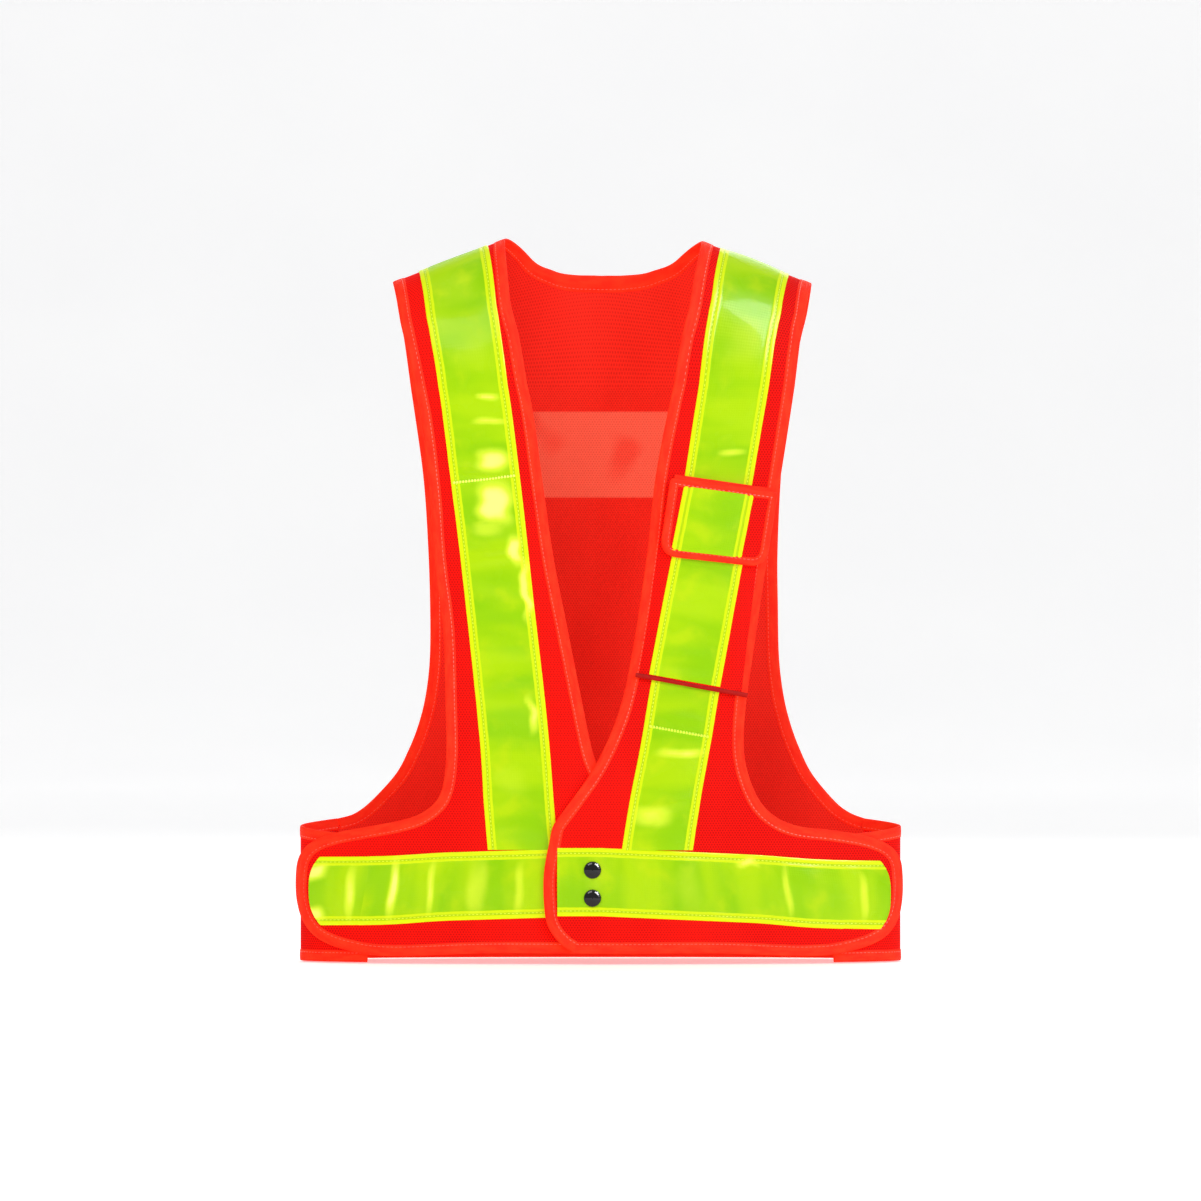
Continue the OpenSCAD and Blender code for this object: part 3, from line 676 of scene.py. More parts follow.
def tape_look():
    """Glossy prismatic tape: lime centre with a fine lattice, and pale welded borders."""
    look = Look("reflective_tape", 0.24, Coat_Weight=0.1, Coat_Roughness=0.08, Specular_IOR_Level=0.06)
    uv, along, across = look.cloth_xy()
    edge = look.sub(TAPE_W / 2 * MM, look.size(across))
    broad = look.noise(look.scaled(uv, (22, 7, 1)), 1.0, 2.5)
    cloud = look.noise(uv, 38.0, 3.0)
    lime = look.mix(look.band(broad, 0.38, 0.62), srgb(142, 200, 4), srgb(172, 214, 6))
    lime = look.mix(look.mul(look.band(cloud, 0.52, 0.72), 0.35), lime, srgb(198, 220, 10))
    cell = 2 * math.pi / 0.0042
    one = look.math("SINE", look.mul(look.add(along, across), cell))
    two = look.math("SINE", look.mul(look.sub(along, across), cell))
    lattice = look.mul(one, two)
    lines = look.band(look.size(lattice), 0.10, 0.0)
    lime = look.mix(look.mul(lines, 0.16), lime, srgb(120, 190, 10))
    wander = look.mul(look.noise(uv, 120.0), 0.0006)
    place = look.add(edge, wander)
    inner = look.mix(look.band(place, 0.0078, 0.0084), srgb(208, 230, 14), lime)
    groove = look.mix(look.band(place, 0.0056, 0.0061), srgb(176, 208, 8), inner)
    color = look.mix(look.band(place, 0.0036, 0.0041), srgb(216, 234, 12), groove)
    # Painted highlights: where the tape's highlight attribute is high, its colour is painted pale yellow and
    # near white, standing in for glossy film that catches the lamps.
    spots = look.node("Attribute", {}, out=2, attribute_name="painted_highlight")
    painted_highlight_mask = look.mul(spots, look.math("MULTIPLY_ADD", cloud, 0.5, 0.75))
    color = look.mix(look.mul(look.band(painted_highlight_mask, 0.1, 0.7), 0.7), color, srgb(232, 248, 60))
    color = look.mix(look.mul(look.band(painted_highlight_mask, 0.55, 0.95), 0.8), color, srgb(255, 252, 140))
    flat = look.band(place, 0.0078, 0.0090)
    height = look.add(look.mul(look.mul(lattice, 0.25), flat),
                       look.mul(look.noise(uv, 260.0, 3.0), 0.8))
    look.put(look.shader, "Roughness", look.math("MULTIPLY_ADD", cloud, 0.3, 0.12))
    look.bump(height, 0.00022, 0.5)
    # Painted glow: the colour is also given off as weak emission, standing in for the fluorescent film and
    # lifting shaded parts.
    return look.color(color, 0.12)


def thread_look(name, light, dark):
    look = Look(name, 0.5, Sheen_Weight=0.3)
    where = look.node("TexCoord", {}, out=3)
    twist = look.noise(where, 2500.0, 2.0)
    look.bump(twist, 0.0001, 0.6)
    # Painted glow: the thread's colour is also given off as weak emission, lifting its shaded parts.
    return look.color(look.mix(twist, dark, light), 0.12)


def dark_band_look():
    # The band's reds are darker than the binding's, in part painted shade: the pouch's foot lies in the
    # pouch's shadow as it curves back. A noise mottles it between a darker and a redder red and also
    # roughens its bump.
    look = Look("dark_band", 0.8, Specular_IOR_Level=0.1)
    uv, along = look.cloth_xy()[:2]
    rib = look.wave(along, 0.0012)
    band_mottle = look.noise(uv, 90.0, 3.0)
    look.bump(look.add(rib, band_mottle), 0.0002, 0.7)
    return look.color(look.mix(band_mottle, srgb(156, 8, 6), srgb(208, 22, 14)))


def pile_look(name, color, dark):
    """Hook or loop pile of a fastener patch."""
    look = Look(name, 0.9, Specular_IOR_Level=0.1)
    uv = look.cloth_xy()[0]
    tuft = look.node("TexVoronoi", {"Vector": uv, "Scale": 700.0})
    loose = look.noise(uv, 300.0, 4.0)
    look.bump(look.add(tuft, loose), 0.0006, 0.9)
    # Painted glow: the pile's colour is also given off as faint emission, lifting its shaded parts.
    return look.color(look.mix(look.band(tuft, 0.0, 0.7), dark, color), 0.04)


def snap_look(name, color, metallic, roughness):
    """Gloss of a pressed snap, with faint scratches and a mottled finish."""
    look = Look(name, roughness, Metallic=metallic, Specular_IOR_Level=0.45)
    where = look.node("TexCoord", {}, out=3)
    scratch = look.noise(look.scaled(where, (900, 80, 2400)), 1.0, 2.0)
    mottle = look.noise(where, 260.0, 3.0)
    look.put(look.shader, "Roughness", look.math("MULTIPLY_ADD", mottle, roughness, roughness))
    look.bump(scratch, 0.00002, 0.15)
    shade = tuple(0.6 * c for c in color[:3]) + (1.0,)
    return look.color(look.mix(mottle, shade, color))


MESH = mesh_look("mesh_fabric", srgb(248, 16, 8), srgb(228, 10, 6), 0.5)
# The inner face gets lighter, paler reds and fainter holes than the outer face: painted light that lifts the
# shade inside the back. It also shows the pale back of the chest tape through the knit.
MESH_IN = mesh_look("mesh_inner", srgb(240, 44, 30), srgb(228, 36, 24), 0.26, show_tape=True)
BINDING = binding_look()
TAPE = tape_look()
RED_THREAD = thread_look("red_thread", srgb(255, 84, 50), srgb(235, 40, 20))
LIME_THREAD = thread_look("lime_thread", srgb(240, 255, 60), srgb(216, 240, 30))
DARK_BAND = dark_band_look()
LOOP = pile_look("loop_pile", srgb(214, 44, 32), srgb(110, 10, 10))
HOOK = pile_look("hook_pile", srgb(196, 30, 22), srgb(84, 6, 6))
SNAP_BLACK = snap_look("snap_black", srgb(5, 5, 7), 0.0, 0.03)
SNAP_METAL = snap_look("snap_metal", srgb(200, 202, 205), 1.0, 0.2)


# ---- Bodies of the pieces ----


def to_slot(nodes):
    """Hides the CAD nodes that a piece stands for."""
    if nodes:
        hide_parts(*nodes)


def on_body(body, piece, slot_name, *nodes):
    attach(piece, body)
    to_slot(nodes)


def on_root(piece, slot_name, *nodes):
    on_body("root", piece, slot_name, *nodes)


def on_upper(piece, rim, slot_name, *nodes):
    """A strap: its transform is baked into its mesh and the CAD nodes it stands for are hidden."""
    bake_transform(piece)
    to_slot(nodes)


def across_seam(piece, nodes):
    """Bakes a piece's transform into its mesh and hides the CAD nodes it stands for."""
    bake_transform(piece)
    to_slot(nodes)


def on_lower(piece, rim, slot_name, *nodes):
    across_seam(piece, nodes)


def on_tab(piece, rim, slot_name, *nodes):
    across_seam(piece, nodes)


# ---- Cloth panels ----

def widths_by_turn(a, b, n):
    """Points from a to b on each row, at even steps round the body."""
    share = even(n)[None, :]
    side = np.sign(b[:1, 0])
    from_turn, to_turn = turn_at(np.abs(a[:, :1])), turn_at(np.abs(b[:, :1]))
    turn = from_turn + (to_turn - from_turn) * share
    x = HALF_W * np.sin(np.radians(turn)) ** (2 / SQUARENESS)
    part = (x - np.abs(a[:, :1])) / (np.abs(b[:, :1]) - np.abs(a[:, :1]))
    s = a[:, 1:] + (b[:, 1:] - a[:, 1:]) * part
    return np.stack([side * x, s], axis=-1)


def cloth_sheet(name, p, material, h=0.5, t=MESH_T, over=NO_LIFT):
    """Cloth t thick with its middle at height h over the points p."""
    surface = on_cloth(over)
    return sheet_draft(surface(p, h - t / 2), surface(p, h + t / 2), p).make(name, material)


def line_inside(piece, shape, inner):
    """Another material on the inner side of a sheet whose grid has this shape."""
    quads = (shape[0] - 1) * (shape[1] - 1)
    slots = np.zeros(len(piece.data.polygons), np.int32)
    slots[quads:2 * quads] = 1
    piece.data.materials.append(inner)
    piece.data.polygons.foreach_set("material_index", slots)


def ruled(a, b, n):
    c = even(n)[None, :, None]
    return a[:, None, :] * (1 - c) + b[:, None, :] * c


HIDDEN = BINDING_W / 2
ROW = 4.0


def rows_between(low, high, extra):
    """Levels from low to high: every few millimetres, and closer where extra points ask for it."""
    plain = np.linspace(low, high, int(abs(high - low) / ROW) + 2)
    extra = extra[(extra > low + 0.4) & (extra < high - 0.4)]
    levels = np.unique(np.round(np.r_[plain, extra], 1))
    return np.r_[low, levels[(levels > low + 0.2) & (levels < high - 0.2)], high]


def front_lower(rim):
    side = rim.side
    edge = inset(rim.edge_low, side * HIDDEN)[::-1]
    edge = edge[(edge[:, 1] > level(HEM_CLEAR + 0.5)) & (side * edge[:, 0] < 60)]
    arm = inset(rim.arm_low, side * HIDDEN)
    corner_z = height_of(arm[0, 1]) / KZ
    outer = np.vstack([seam(np.linspace(HEM_CLEAR, corner_z, 30), side), arm[1:]])
    levels = rows_between(level(HEM_CLEAR), CUT_S, arm[::2, 1])
    p = ruled(at_levels(edge, levels), at_levels(outer, levels), 44)
    on_lower(cloth_sheet(rim.word + "_front_cloth", p, MESH, over=rim.over), rim,
             "mesh_fabric", rim.word + "_front_panel")


def front_upper(rim):
    edge = inset(rim.edge_high, rim.side * HIDDEN)[::-1]
    arm = inset(rim.arm_high, rim.side * HIDDEN)
    levels = rows_between(CUT_S, 0.0, np.array([]))
    p = ruled(at_levels(edge, levels), at_levels(arm, levels), 24)
    on_upper(cloth_sheet(rim.word + "_strap_cloth", p, MESH, over=rim.over), rim,
             "mesh_fabric", rim.word + "_shoulder_yoke")


def back_outer(rim):
    """Outer line of the back on one side, from the ridge down to the hem."""
    arm = inset(rim.arm_back, rim.side * HIDDEN)
    edge_x = rim.side * WING_X * KX
    arm = arm[np.abs(arm[:, 0]) < WING_X * KX]
    down = np.linspace(float(way_down(0, WING_TOP - HIDDEN)), float(way_down(0, HEM_CLEAR - 3)), 27)
    return np.vstack([arm, np.stack([np.full(27, edge_x), down], axis=-1)])


def back_cloth():
    sides = [back_outer(rim) for rim in (right_rim, left_rim)]
    levels = rows_between(0.0, float(sides[0][-1, 1]), sides[1][::2, 1])
    reach = [at_levels(line, levels)[:, 0] for line in sides]
    share = np.linspace(0, 1, 89)[None, :]
    x = reach[0][:, None] * (1 - share) + reach[1][:, None] * share
    neck = np.vstack([inset(right_rim.neck, -HIDDEN)[::-1], inset(left_rim.neck, HIDDEN)])
    drop = np.maximum(np.interp(x, neck[:, 0], neck[:, 1], left=0.0, right=0.0), 0.0)
    fade = 260.0
    way = np.where(levels[:, None] < fade, drop + levels[:, None] * (1 - drop / fade), levels[:, None])
    p = np.stack([x, way], axis=-1)
    piece = cloth_sheet("back_cloth", p, MESH)
    line_inside(piece, p.shape, MESH_IN)
    on_root(piece, "mesh_fabric", "back_panel")


# ---- Side folds: wings and hem ----

TURNS = np.linspace(180, WING_FRONT_TURN, 6000)
_fold = fold_point(TURNS, 0.0, 0.0)
ARC = np.r_[0, np.cumsum(np.linalg.norm(np.diff(_fold, axis=0), axis=1))] / MM
FRONT_ARC = ARC[-1]
BACK_TURN = 180 - turn_at(WING_X * KX)
BACK_ARC = float(np.interp(-BACK_TURN, -TURNS, ARC))


def on_fold(p, k):
    """Surface for points (way round from the back centre, height above the hem)."""
    turn = np.interp(np.abs(p[..., 0]), ARC, TURNS)
    points = fold_point(turn, p[..., 1], 0.5 + k)
    points[..., 0] *= np.sign(p[..., 0] + 1e-9)
    return points


def arc_of(turn):
    return float(np.interp(-turn, -TURNS, ARC))


def wing_cloth(rim):
    arcs = np.linspace(BACK_ARC, FRONT_ARC - HIDDEN, 40)
    top = np.linspace(WING_TOP, WING_FRONT_TOP, 40) - HIDDEN
    rows = even(24)[:, None]
    z = HEM_CLEAR - 3 + (top[None, :] - HEM_CLEAR + 3) * rows
    p = np.stack([rim.side * np.broadcast_to(arcs, z.shape), z], axis=-1)
    piece = sheet_draft(on_fold(p, -MESH_T / 2), on_fold(p, MESH_T / 2), p).make(
        rim.word + "_wing_cloth", MESH)
    on_root(piece, "mesh_fabric", rim.word + "_side_wing")


def binding(name, path, w, surface):
    """Folded binding that covers w millimetres to the left of the path, or to the right if negative."""
    place = BINDING_W - BINDING_SEAM
    height = 0.8 * BINDING_T / 2
    return tube(name, path if w > 0 else path[::-1], binding_profile(BINDING_W, BINDING_T), surface,
                [BINDING, RED_THREAD], seams=[(place, height), (place, -height)])


def rounded(points, radii):
    """A path through the points with its corners rounded off."""
    points = np.asarray(points, float)
    out = [points[0]]
    for a, b, c, r in zip(points[:-2], points[1:-1], points[2:], radii):
        u, v = (a - b) / np.linalg.norm(a - b), (c - b) / np.linalg.norm(c - b)
        t = even(6)[:, None]
        p, q = b + u * r, b + v * r
        out += list((1 - t) ** 2 * p + 2 * t * (1 - t) * b + t ** 2 * q)
    return np.array(out + [points[-1]])


def wing_binding(rim):
    path = rounded([[FRONT_ARC, 8.0], [FRONT_ARC, WING_FRONT_TOP], [BACK_ARC, WING_TOP]], [12])
    piece = binding(rim.word + "_wing_edge", path * [rim.side, 1], rim.side, on_fold)
    on_root(piece, "binding", rim.word + "_wing_binding")


def hem():
    path = np.array([[-FRONT_ARC, 0.0], [FRONT_ARC, 0.0]])
    on_root(binding("hem_edge", path, 1, on_fold), "binding", "back_hem_binding")


def flat_profile(w, low, high):
    """Cross-section of a flat strip centred on its path."""
    r = (high - low) * 0.35
    return np.array([(-w / 2, low), (-w / 2, high - r), (-w / 2 + r, high), (0, high + 0.1),
                     (w / 2 - r, high), (w / 2, high - r), (w / 2, low)])


def side_seam(rim):
    """Strip sewn over the line between the back panel and a wing."""
    x = rim.side * BACK_ARC
    piece = tube(rim.word + "_side_seam_strip", np.array([[x, 8.0], [x, WING_TOP - 2]]),
                 flat_profile(9, 0.35, 1.1), on_fold, [BINDING, RED_THREAD],
                 seams=[(-3, 1.12), (3, 1.12)])
    on_root(piece, "binding")


# ---- Reflective tape ----

def tape_columns():
    e = np.array([0, 0.5, 1.4, 2.6, 3.3, 3.8, 4.7, 5.5, 6.0, 6.9, 7.7, 8.3, 9.4, 11.5, 14, 17, 20, 23,
                  26.5])
    return np.r_[e, TAPE_W / 2, TAPE_W - e[::-1]] / TAPE_W


TAPE_SHARES = tape_columns()
PROFILE_E = [0, 0.5, 1.4, 3.3, 3.8, 5.5, 6.0, 6.9, 7.7, 8.3, 9.4, 30]
PROFILE_H = [0.30, 0.62, 0.74, 0.72, 0.56, 0.56, 0.70, 0.74, 0.68, 0.54, 0.58, 0.62]


def puff(u, v, seed, creases):
    """Outward waves of tape that has been folded and worn, with sharper creases at some places."""
    w = (0.34 * np.sin(u / 8.5 + seed) + 0.30 * np.sin(u / 14.7 + 1.7 * seed + v / 45)
         + 0.16 * np.sin(u / 4.3 + 2.6 * seed + v / 18))
    w = 0.62 + 0.75 * w
    for place, depth, width, slant in creases:
        away = (u - place - slant * v) / width
        w = w + depth * np.exp(-away ** 2) - depth * 0.6 * np.exp(-((away - 1.6) / 1.2) ** 2)
    middle = np.clip(1 - (np.abs(v) / 26) ** 2.4, 0, 1)
    return np.clip(w, 0.0, 1.7) * middle + 0.10 * np.sin(u / 5.2 + seed) * (1 - middle)


def painted_highlight(piece, u, v, patches):
    """Marks the places of a tape where flattened film would catch the light, as a vertex attribute that the
    tape's material paints as pale highlights.
    """
    value = np.zeros(u.shape)
    wu = u + 0.7 * np.sin(v / 7.1 + u / 13)
    wv = v + 1.8 * np.sin(u / 5.2 + 1) + 1.0 * np.sin(u / 2.9)
    for pu, pv, ru, rv, strength in patches:
        away = np.abs((wu - pu) / ru) ** 3 + np.abs((wv - pv) / rv) ** 3
        value = np.maximum(value, strength * np.exp(-0.7 * away))
    both = np.r_[value.ravel(), value.ravel()].astype(np.float32)
    layer = piece.data.attributes.new("painted_highlight", "FLOAT", "POINT")
    layer.data.foreach_set("value", np.r_[both, np.zeros(len(piece.data.vertices) - len(both), np.float32)])


# Run of tape over which its waves die out towards a tab
CALM = 16.0
# Height at which a tape lies over the mesh
OVER_MESH = 1.12
# Distance of the border's thread from the edge of a tape, and its height over the tape's lower face
TAPE_SEAM, TAPE_SEAM_H = 4.65, 0.62


def across(left, right):
    """Points of a tape between its two edges, given row by row."""
    share = TAPE_SHARES[None, :, None]
    return left[:, None, :] * (1 - share) + right[:, None, :] * share


def film(name, p, along, seed, surface, base, creases=(), calm=None, patches=(), line=None, sewn=True):
    """Tape over the points p, with thread along its borders and across it on the line."""
    u = np.broadcast_to(along[:, None], p.shape[:2])
    v = np.broadcast_to((TAPE_SHARES[None, :] - 0.5) * TAPE_W, p.shape[:2])
    rise = puff(u, v, seed, creases)
    if calm is not None:
        rise = rise * smooth(np.abs(u - u[calm]) / CALM)
    top = base + np.interp(TAPE_W / 2 - np.abs(v), PROFILE_E, PROFILE_H) + rise
    draft = sheet_draft(surface(p, base), surface(p, top), np.stack([u, v], axis=-1))
    if not sewn:
        return draft.make(name, TAPE)
    for share in (TAPE_SEAM / TAPE_W, 1 - TAPE_SEAM / TAPE_W):
        k = np.searchsorted(TAPE_SHARES, share)
        part = (share - TAPE_SHARES[k - 1]) / (TAPE_SHARES[k] - TAPE_SHARES[k - 1])
        draft.sew(p[:, k - 1] * (1 - part) + p[:, k] * part, surface, base + TAPE_SEAM_H,
                  pitch=3.4, length=2.3, thick=0.26)
    if line is not None:
        draft.sew(line, surface, OVER_MESH + 1.5, pitch=2.6, length=2.5, thick=1.1)
    piece = draft.make(name, TAPE, LIME_THREAD)
    painted_highlight(piece, u, v, patches)
    return piece


def tape(name, left, right, base, over, seed, shift=0.0, **more):
    """Tape on the cloth between two edges; returns a piece that rides nothing yet."""
    along = lengths((left + right) / 2) + shift
    return film(name, across(left, right), along, seed, on_cloth(over), base, **more)


HALF_TAPE = np.array([TAPE_W / 2, 0.0])


def part_of(path, low, high):
    """The part of an upward path between two ways down, ends included."""
    s = path[:, 1]
    ends = [[np.interp(at, s, path[:, 0]), at] for at in (low, high)]
    return np.vstack([ends[:1], path[(s > low) & (s < high)], ends[1:]])


LEFT_RIDGE_TAPE = [[137 * KX, 0]]
RIGHT_RIDGE_TAPE = [[-131 * KX, 0]]
BACK_TAPE = [[128, 570], [121, 520], [110, 446], [97, 340], [86, 230], [78, 104]]
LEFT_TAPE = [[49, 96.8], [56, 141], [65, 185], [73, 229], [79, 262], [86, 317], [102, 405], [115, 484],
             [122.6, 537], [127, 563], [131.2, 585]]
RIGHT_TAPE = [[-68, 97], [-72, 141], [-80, 229], [-90, 317], [-100, 405], [-111, 493], [-121, 556],
              [-125, 581]]
left_tape_loop = spline(np.vstack([front(LEFT_TAPE), LEFT_RIDGE_TAPE, rear(BACK_TAPE)]), 12)
right_tape_loop = spline(np.vstack([front(RIGHT_TAPE), RIGHT_RIDGE_TAPE,
                                    mirrored(rear(BACK_TAPE))]), 12)


# Lines of thread across the strap tapes
CROSS_STITCH = [[43, 205.6], [70, 200.8], [96, 196.2]]
TAPE_JOINT = [[-130, 420.0], [-102, 423.0], [-74, 426.5]]


def strap_tapes(rim, loop, creases, patches):
    low, high, back = (evenly(part_of(loop, *ends), 2.5) for ends in
                       ((loop[0, 1], CUT_S), (CUT_S, 0.0), (0.0, loop[-1, 1])))
    run = lengths(part_of(loop, loop[0, 1], CUT_S))[-1]
    full_run = run + lengths(part_of(loop, CUT_S, 0.0))[-1]
    lines = (front(CROSS_STITCH), None) if rim.side > 0 else (None, front(TAPE_JOINT))
    stands_for = ["left_lower_strap_tape"] if rim.side > 0 else []

    def piece(part, path, over, shift, **more):
        return tape(rim.word + part, path - HALF_TAPE, path + HALF_TAPE, OVER_MESH, over, rim.side,
                    shift, **more)

    # creases are folds in the tape's shape; patches are painted highlights
    worn = {"creases": creases, "patches": patches}
    on_lower(piece("_strap_tape_low", low, rim.over, 0.0, line=lines[0], **worn), rim,
             "reflective_tape", *stands_for)
    on_upper(piece("_strap_tape_high", high, rim.over, run, line=lines[1], **worn), rim,
             "reflective_tape", rim.word + "_strap_tape")
    on_root(piece("_back_tape", back, NO_LIFT, full_run), "reflective_tape", rim.word + "_shoulder_tape")


WAIST_Z = 68.8
BACK_WAIST_Z = 66.0
# Fall of the waist tape towards each side
LEFT_SLOPE, RIGHT_SLOPE = 0.045, 0.03
# Run of the tape up to the tabs, and the crease on them
TAB_RUN = 240
TAB_CREASES = [(258, 0.8, 5, 0.1)]


def waist_edge(xs, slope, dz):
    side = 1 if xs[-1] > 0 else -1
    z = WAIST_Z + dz - slope * np.maximum(side * xs, 0)
    return front(np.stack([xs, z], axis=-1))


def waist_tape(rim, from_x, slope, seed, creases, patches):
    """Front part of the waist tape, from the centre to the tab."""
    edges = []
    for dz in (TAPE_W / 2, -TAPE_W / 2):
        z_end = WAIST_Z + dz - slope * SEAM_X
        x_end = rim.side * (SEAM_X - SEAM_LEAN * (z_end - SEAM_Z))
        edges.append(waist_edge(np.linspace(from_x, x_end, 90), slope, dz))
    piece = tape(rim.word + "_waist_tape_piece", *edges, OVER_MESH, rim.over, seed, creases=creases,
                 calm=-1, patches=patches)
    on_lower(piece, rim, "reflective_tape", rim.word + "_waist_tape")


def tab_tape(rim, slope, patches):
    """The tape's end on a tab, rounded to follow the tab."""
    middle_z = WAIST_Z - slope * (SEAM_X + 25)
    drop = TAPE_W * (0.5 - TAPE_SHARES)
    start = seam(WAIST_Z - slope * SEAM_X + drop, rim.side)
    z = middle_z + drop
    end_x = rim.side * (253 - 9 * np.abs(2 * (z - middle_z) / TAPE_W) ** 3)
    p = widths_by_turn(start, front(np.stack([end_x, z], axis=-1)), 30).transpose(1, 0, 2)
    along = lengths(p[:, len(TAPE_SHARES) // 2]) + TAB_RUN
    piece = film(rim.word + "_tab_tape_piece", p, along, 1.3 * rim.side, on_cloth(RIGHT), OVER_MESH,
                 creases=TAB_CREASES, calm=0, patches=patches)
    on_tab(piece, rim, "reflective_tape", rim.word + "_tab_tape")


def back_tape(name, node, xs, middle_z, tall, base, seed):
    """A level tape across the back."""
    top, bottom = (rear(np.stack([xs, np.full_like(xs, middle_z + dz)], axis=-1)) for dz in (tall, -tall))
    on_root(tape(name, top, bottom, base, NO_LIFT, seed), "reflective_tape", node)


def back_tapes():
    back_tape("back_waist_tape_piece", "back_waist_tape", np.linspace(-226, 226, 130), BACK_WAIST_Z,
              TAPE_W / 2, OVER_MESH + 0.8, 3.1)
    back_tape("back_chest_tape_piece", "back_chest_tape", np.linspace(CHEST_LO[0], CHEST_HI[0], 44) / KX,
              (CHEST_HI[2] + CHEST_LO[2]) / KZ / 2, (CHEST_HI[2] - CHEST_LO[2]) / KZ / 2, OVER_MESH, 5.2)


# ---- Pocket ----

POUCH_H = 3.9
POUCH_SIDE_A = [[55, 394], [48, 340], [41, 290], [34, 251]]
POUCH_SIDE_B = [[143, 380], [137, 330], [129, 275], [124, 235]]
FOOT_SLOPE = 0.184
FLAP = np.array([[60, 424], [153, 411], [143, 345], [50, 355.5]], float)
FLAP_RADII = [4.0, 16.0, 16.0, 4.0]
FLAP_H = 8.1


def pouch():
    """Pouch cloth: its sides run down to the strap beside the bindings, its foot and mouth are open."""
    a = evenly(spline(front(POUCH_SIDE_A), 8), 4)
    b = evenly(spline(front(POUCH_SIDE_B), 8), 4)
    b = np.stack([np.interp(even(len(a) - 1), even(len(b) - 1), b[:, k]) for k in (0, 1)], axis=-1)
    p = ruled(a, b, 36)
    share = even(36)[None, :]
    tuck = smooth(share / 0.1) * smooth((1 - share) / 0.1)
    h = 1.9 + (POUCH_H - 1.9) * tuck + 0.9 * np.sin(np.pi * share) * np.ones((len(a), 1))
    on_body("left_front", cloth_sheet("pouch_cloth", p, MESH, h, over=LEFT), "mesh_fabric", "pocket_pouch")


def pouch_tape():
    path = evenly(spline(front([[73.5, 246], [78.6, 273], [88.5, 326], [97.5, 372]]), 10), 3.5)
    slant = np.array([TAPE_W / 2, -TAPE_W / 2 * FOOT_SLOPE])
    piece = tape("pouch_tape_piece", path - slant, path + slant, POUCH_H + 1.35, LEFT, 4.4,
                 creases=[(12, 0.5, 5, 0.1)])
    on_body("left_front", piece, "reflective_tape", "pocket_pouch_tape")


def foot_band():
    path = front([[31, 251.0], [64, 245.0], [96, 239.0], [128, 233.0]])
    profile = flat_profile(3.8, POUCH_H - 0.2, POUCH_H + 1.6)
    piece = tube("pouch_foot_band", path, profile, on_cloth(LEFT), [DARK_BAND])
    on_body("left_front", piece, "dark_band", "pocket_foot_band")


def flap_point(u, v):
    u, v = np.asarray(u, float)[..., None], np.asarray(v, float)[..., None]
    top = FLAP[0] * (1 - u) + FLAP[1] * u
    bottom = FLAP[3] * (1 - u) + FLAP[2] * u
    p = (top * (1 - v) + bottom * v) * [KX, KZ]
    return np.stack([p[..., 0], -way_down(p[..., 0], p[..., 1])], axis=-1)


def flap_bow(u):
    """The flap stands a little proud in its middle."""
    return 0.8 * np.sin(np.pi * np.clip(u, 0, 1))


def flap_cloth():
    u, v = np.meshgrid(np.linspace(0.045, 0.955, 26), np.linspace(0.06, 0.94, 20))
    piece = cloth_sheet("flap_cloth", flap_point(u, v), MESH, FLAP_H + flap_bow(u), over=LEFT)
    on_body("pocket_flap", piece, "mesh_fabric", "pocket_flap")


def flap_surface(p, k):
    """Cloth surface of the flap, with its bow, for the binding and tape on it."""
    share = np.clip((p[..., 0] / KX - 52) / 98, 0, 1)
    return cloth(p[..., 0], p[..., 1], FLAP_H + flap_bow(share) + k, LEFT)


def flap_tape():
    v = np.linspace(0.09, 0.91, 18)
    left = flap_point(0.134 - 0.034 * v, v)
    right = flap_point(0.780 - 0.034 * v, v)
    piece = film("flap_tape_piece", across(left, right), lengths((left + right) / 2), 2.2, flap_surface,
                 0.6, sewn=False)
    on_body("pocket_flap", piece, "reflective_tape", "pocket_flap_tape")


def flap_edge():
    corners = [flap_point(u, v) for u, v in ((0, 0), (1, 0), (1, 1), (0, 1))]
    start = (corners[0] + corners[1]) / 2
    ring = rounded([start, corners[1], corners[2], corners[3], corners[0], start], FLAP_RADII)
    place = FLAP_BINDING_W - BINDING_SEAM
    piece = tube("flap_edge_binding", ring[::-1], binding_profile(FLAP_BINDING_W, 3.0), flap_surface,
                 [BINDING, RED_THREAD], seams=[(place, 1.2), (place, -1.2)], closed=True)
    on_body("pocket_flap", piece, "binding", "pocket_flap_binding")


def flap_tongue():
    """Strip that joins the flap to the strap above it."""
    u, v = np.meshgrid(np.linspace(0.05, 0.95, 26), np.linspace(-0.045, 0.055, 12))
    p = flap_point(u, v)
    rise = smooth((v + 0.03) / 0.07)
    h = 2.6 + (FLAP_H - 2.6) * rise + flap_bow(u) * rise
    piece = cloth_sheet("flap_tongue", p, BINDING, h, 0.8, LEFT)
    surface = on_cloth(LEFT)
    Vector(surface(p[2, 13], 4.0))
    Vector(surface(p[-2, 13], FLAP_H))
    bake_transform(piece)
    to_slot([])


# ---- Fastener patches ----

# Turns round the body between which the tab patches lie
PATCH_TURNS = (54.0, 66.0)


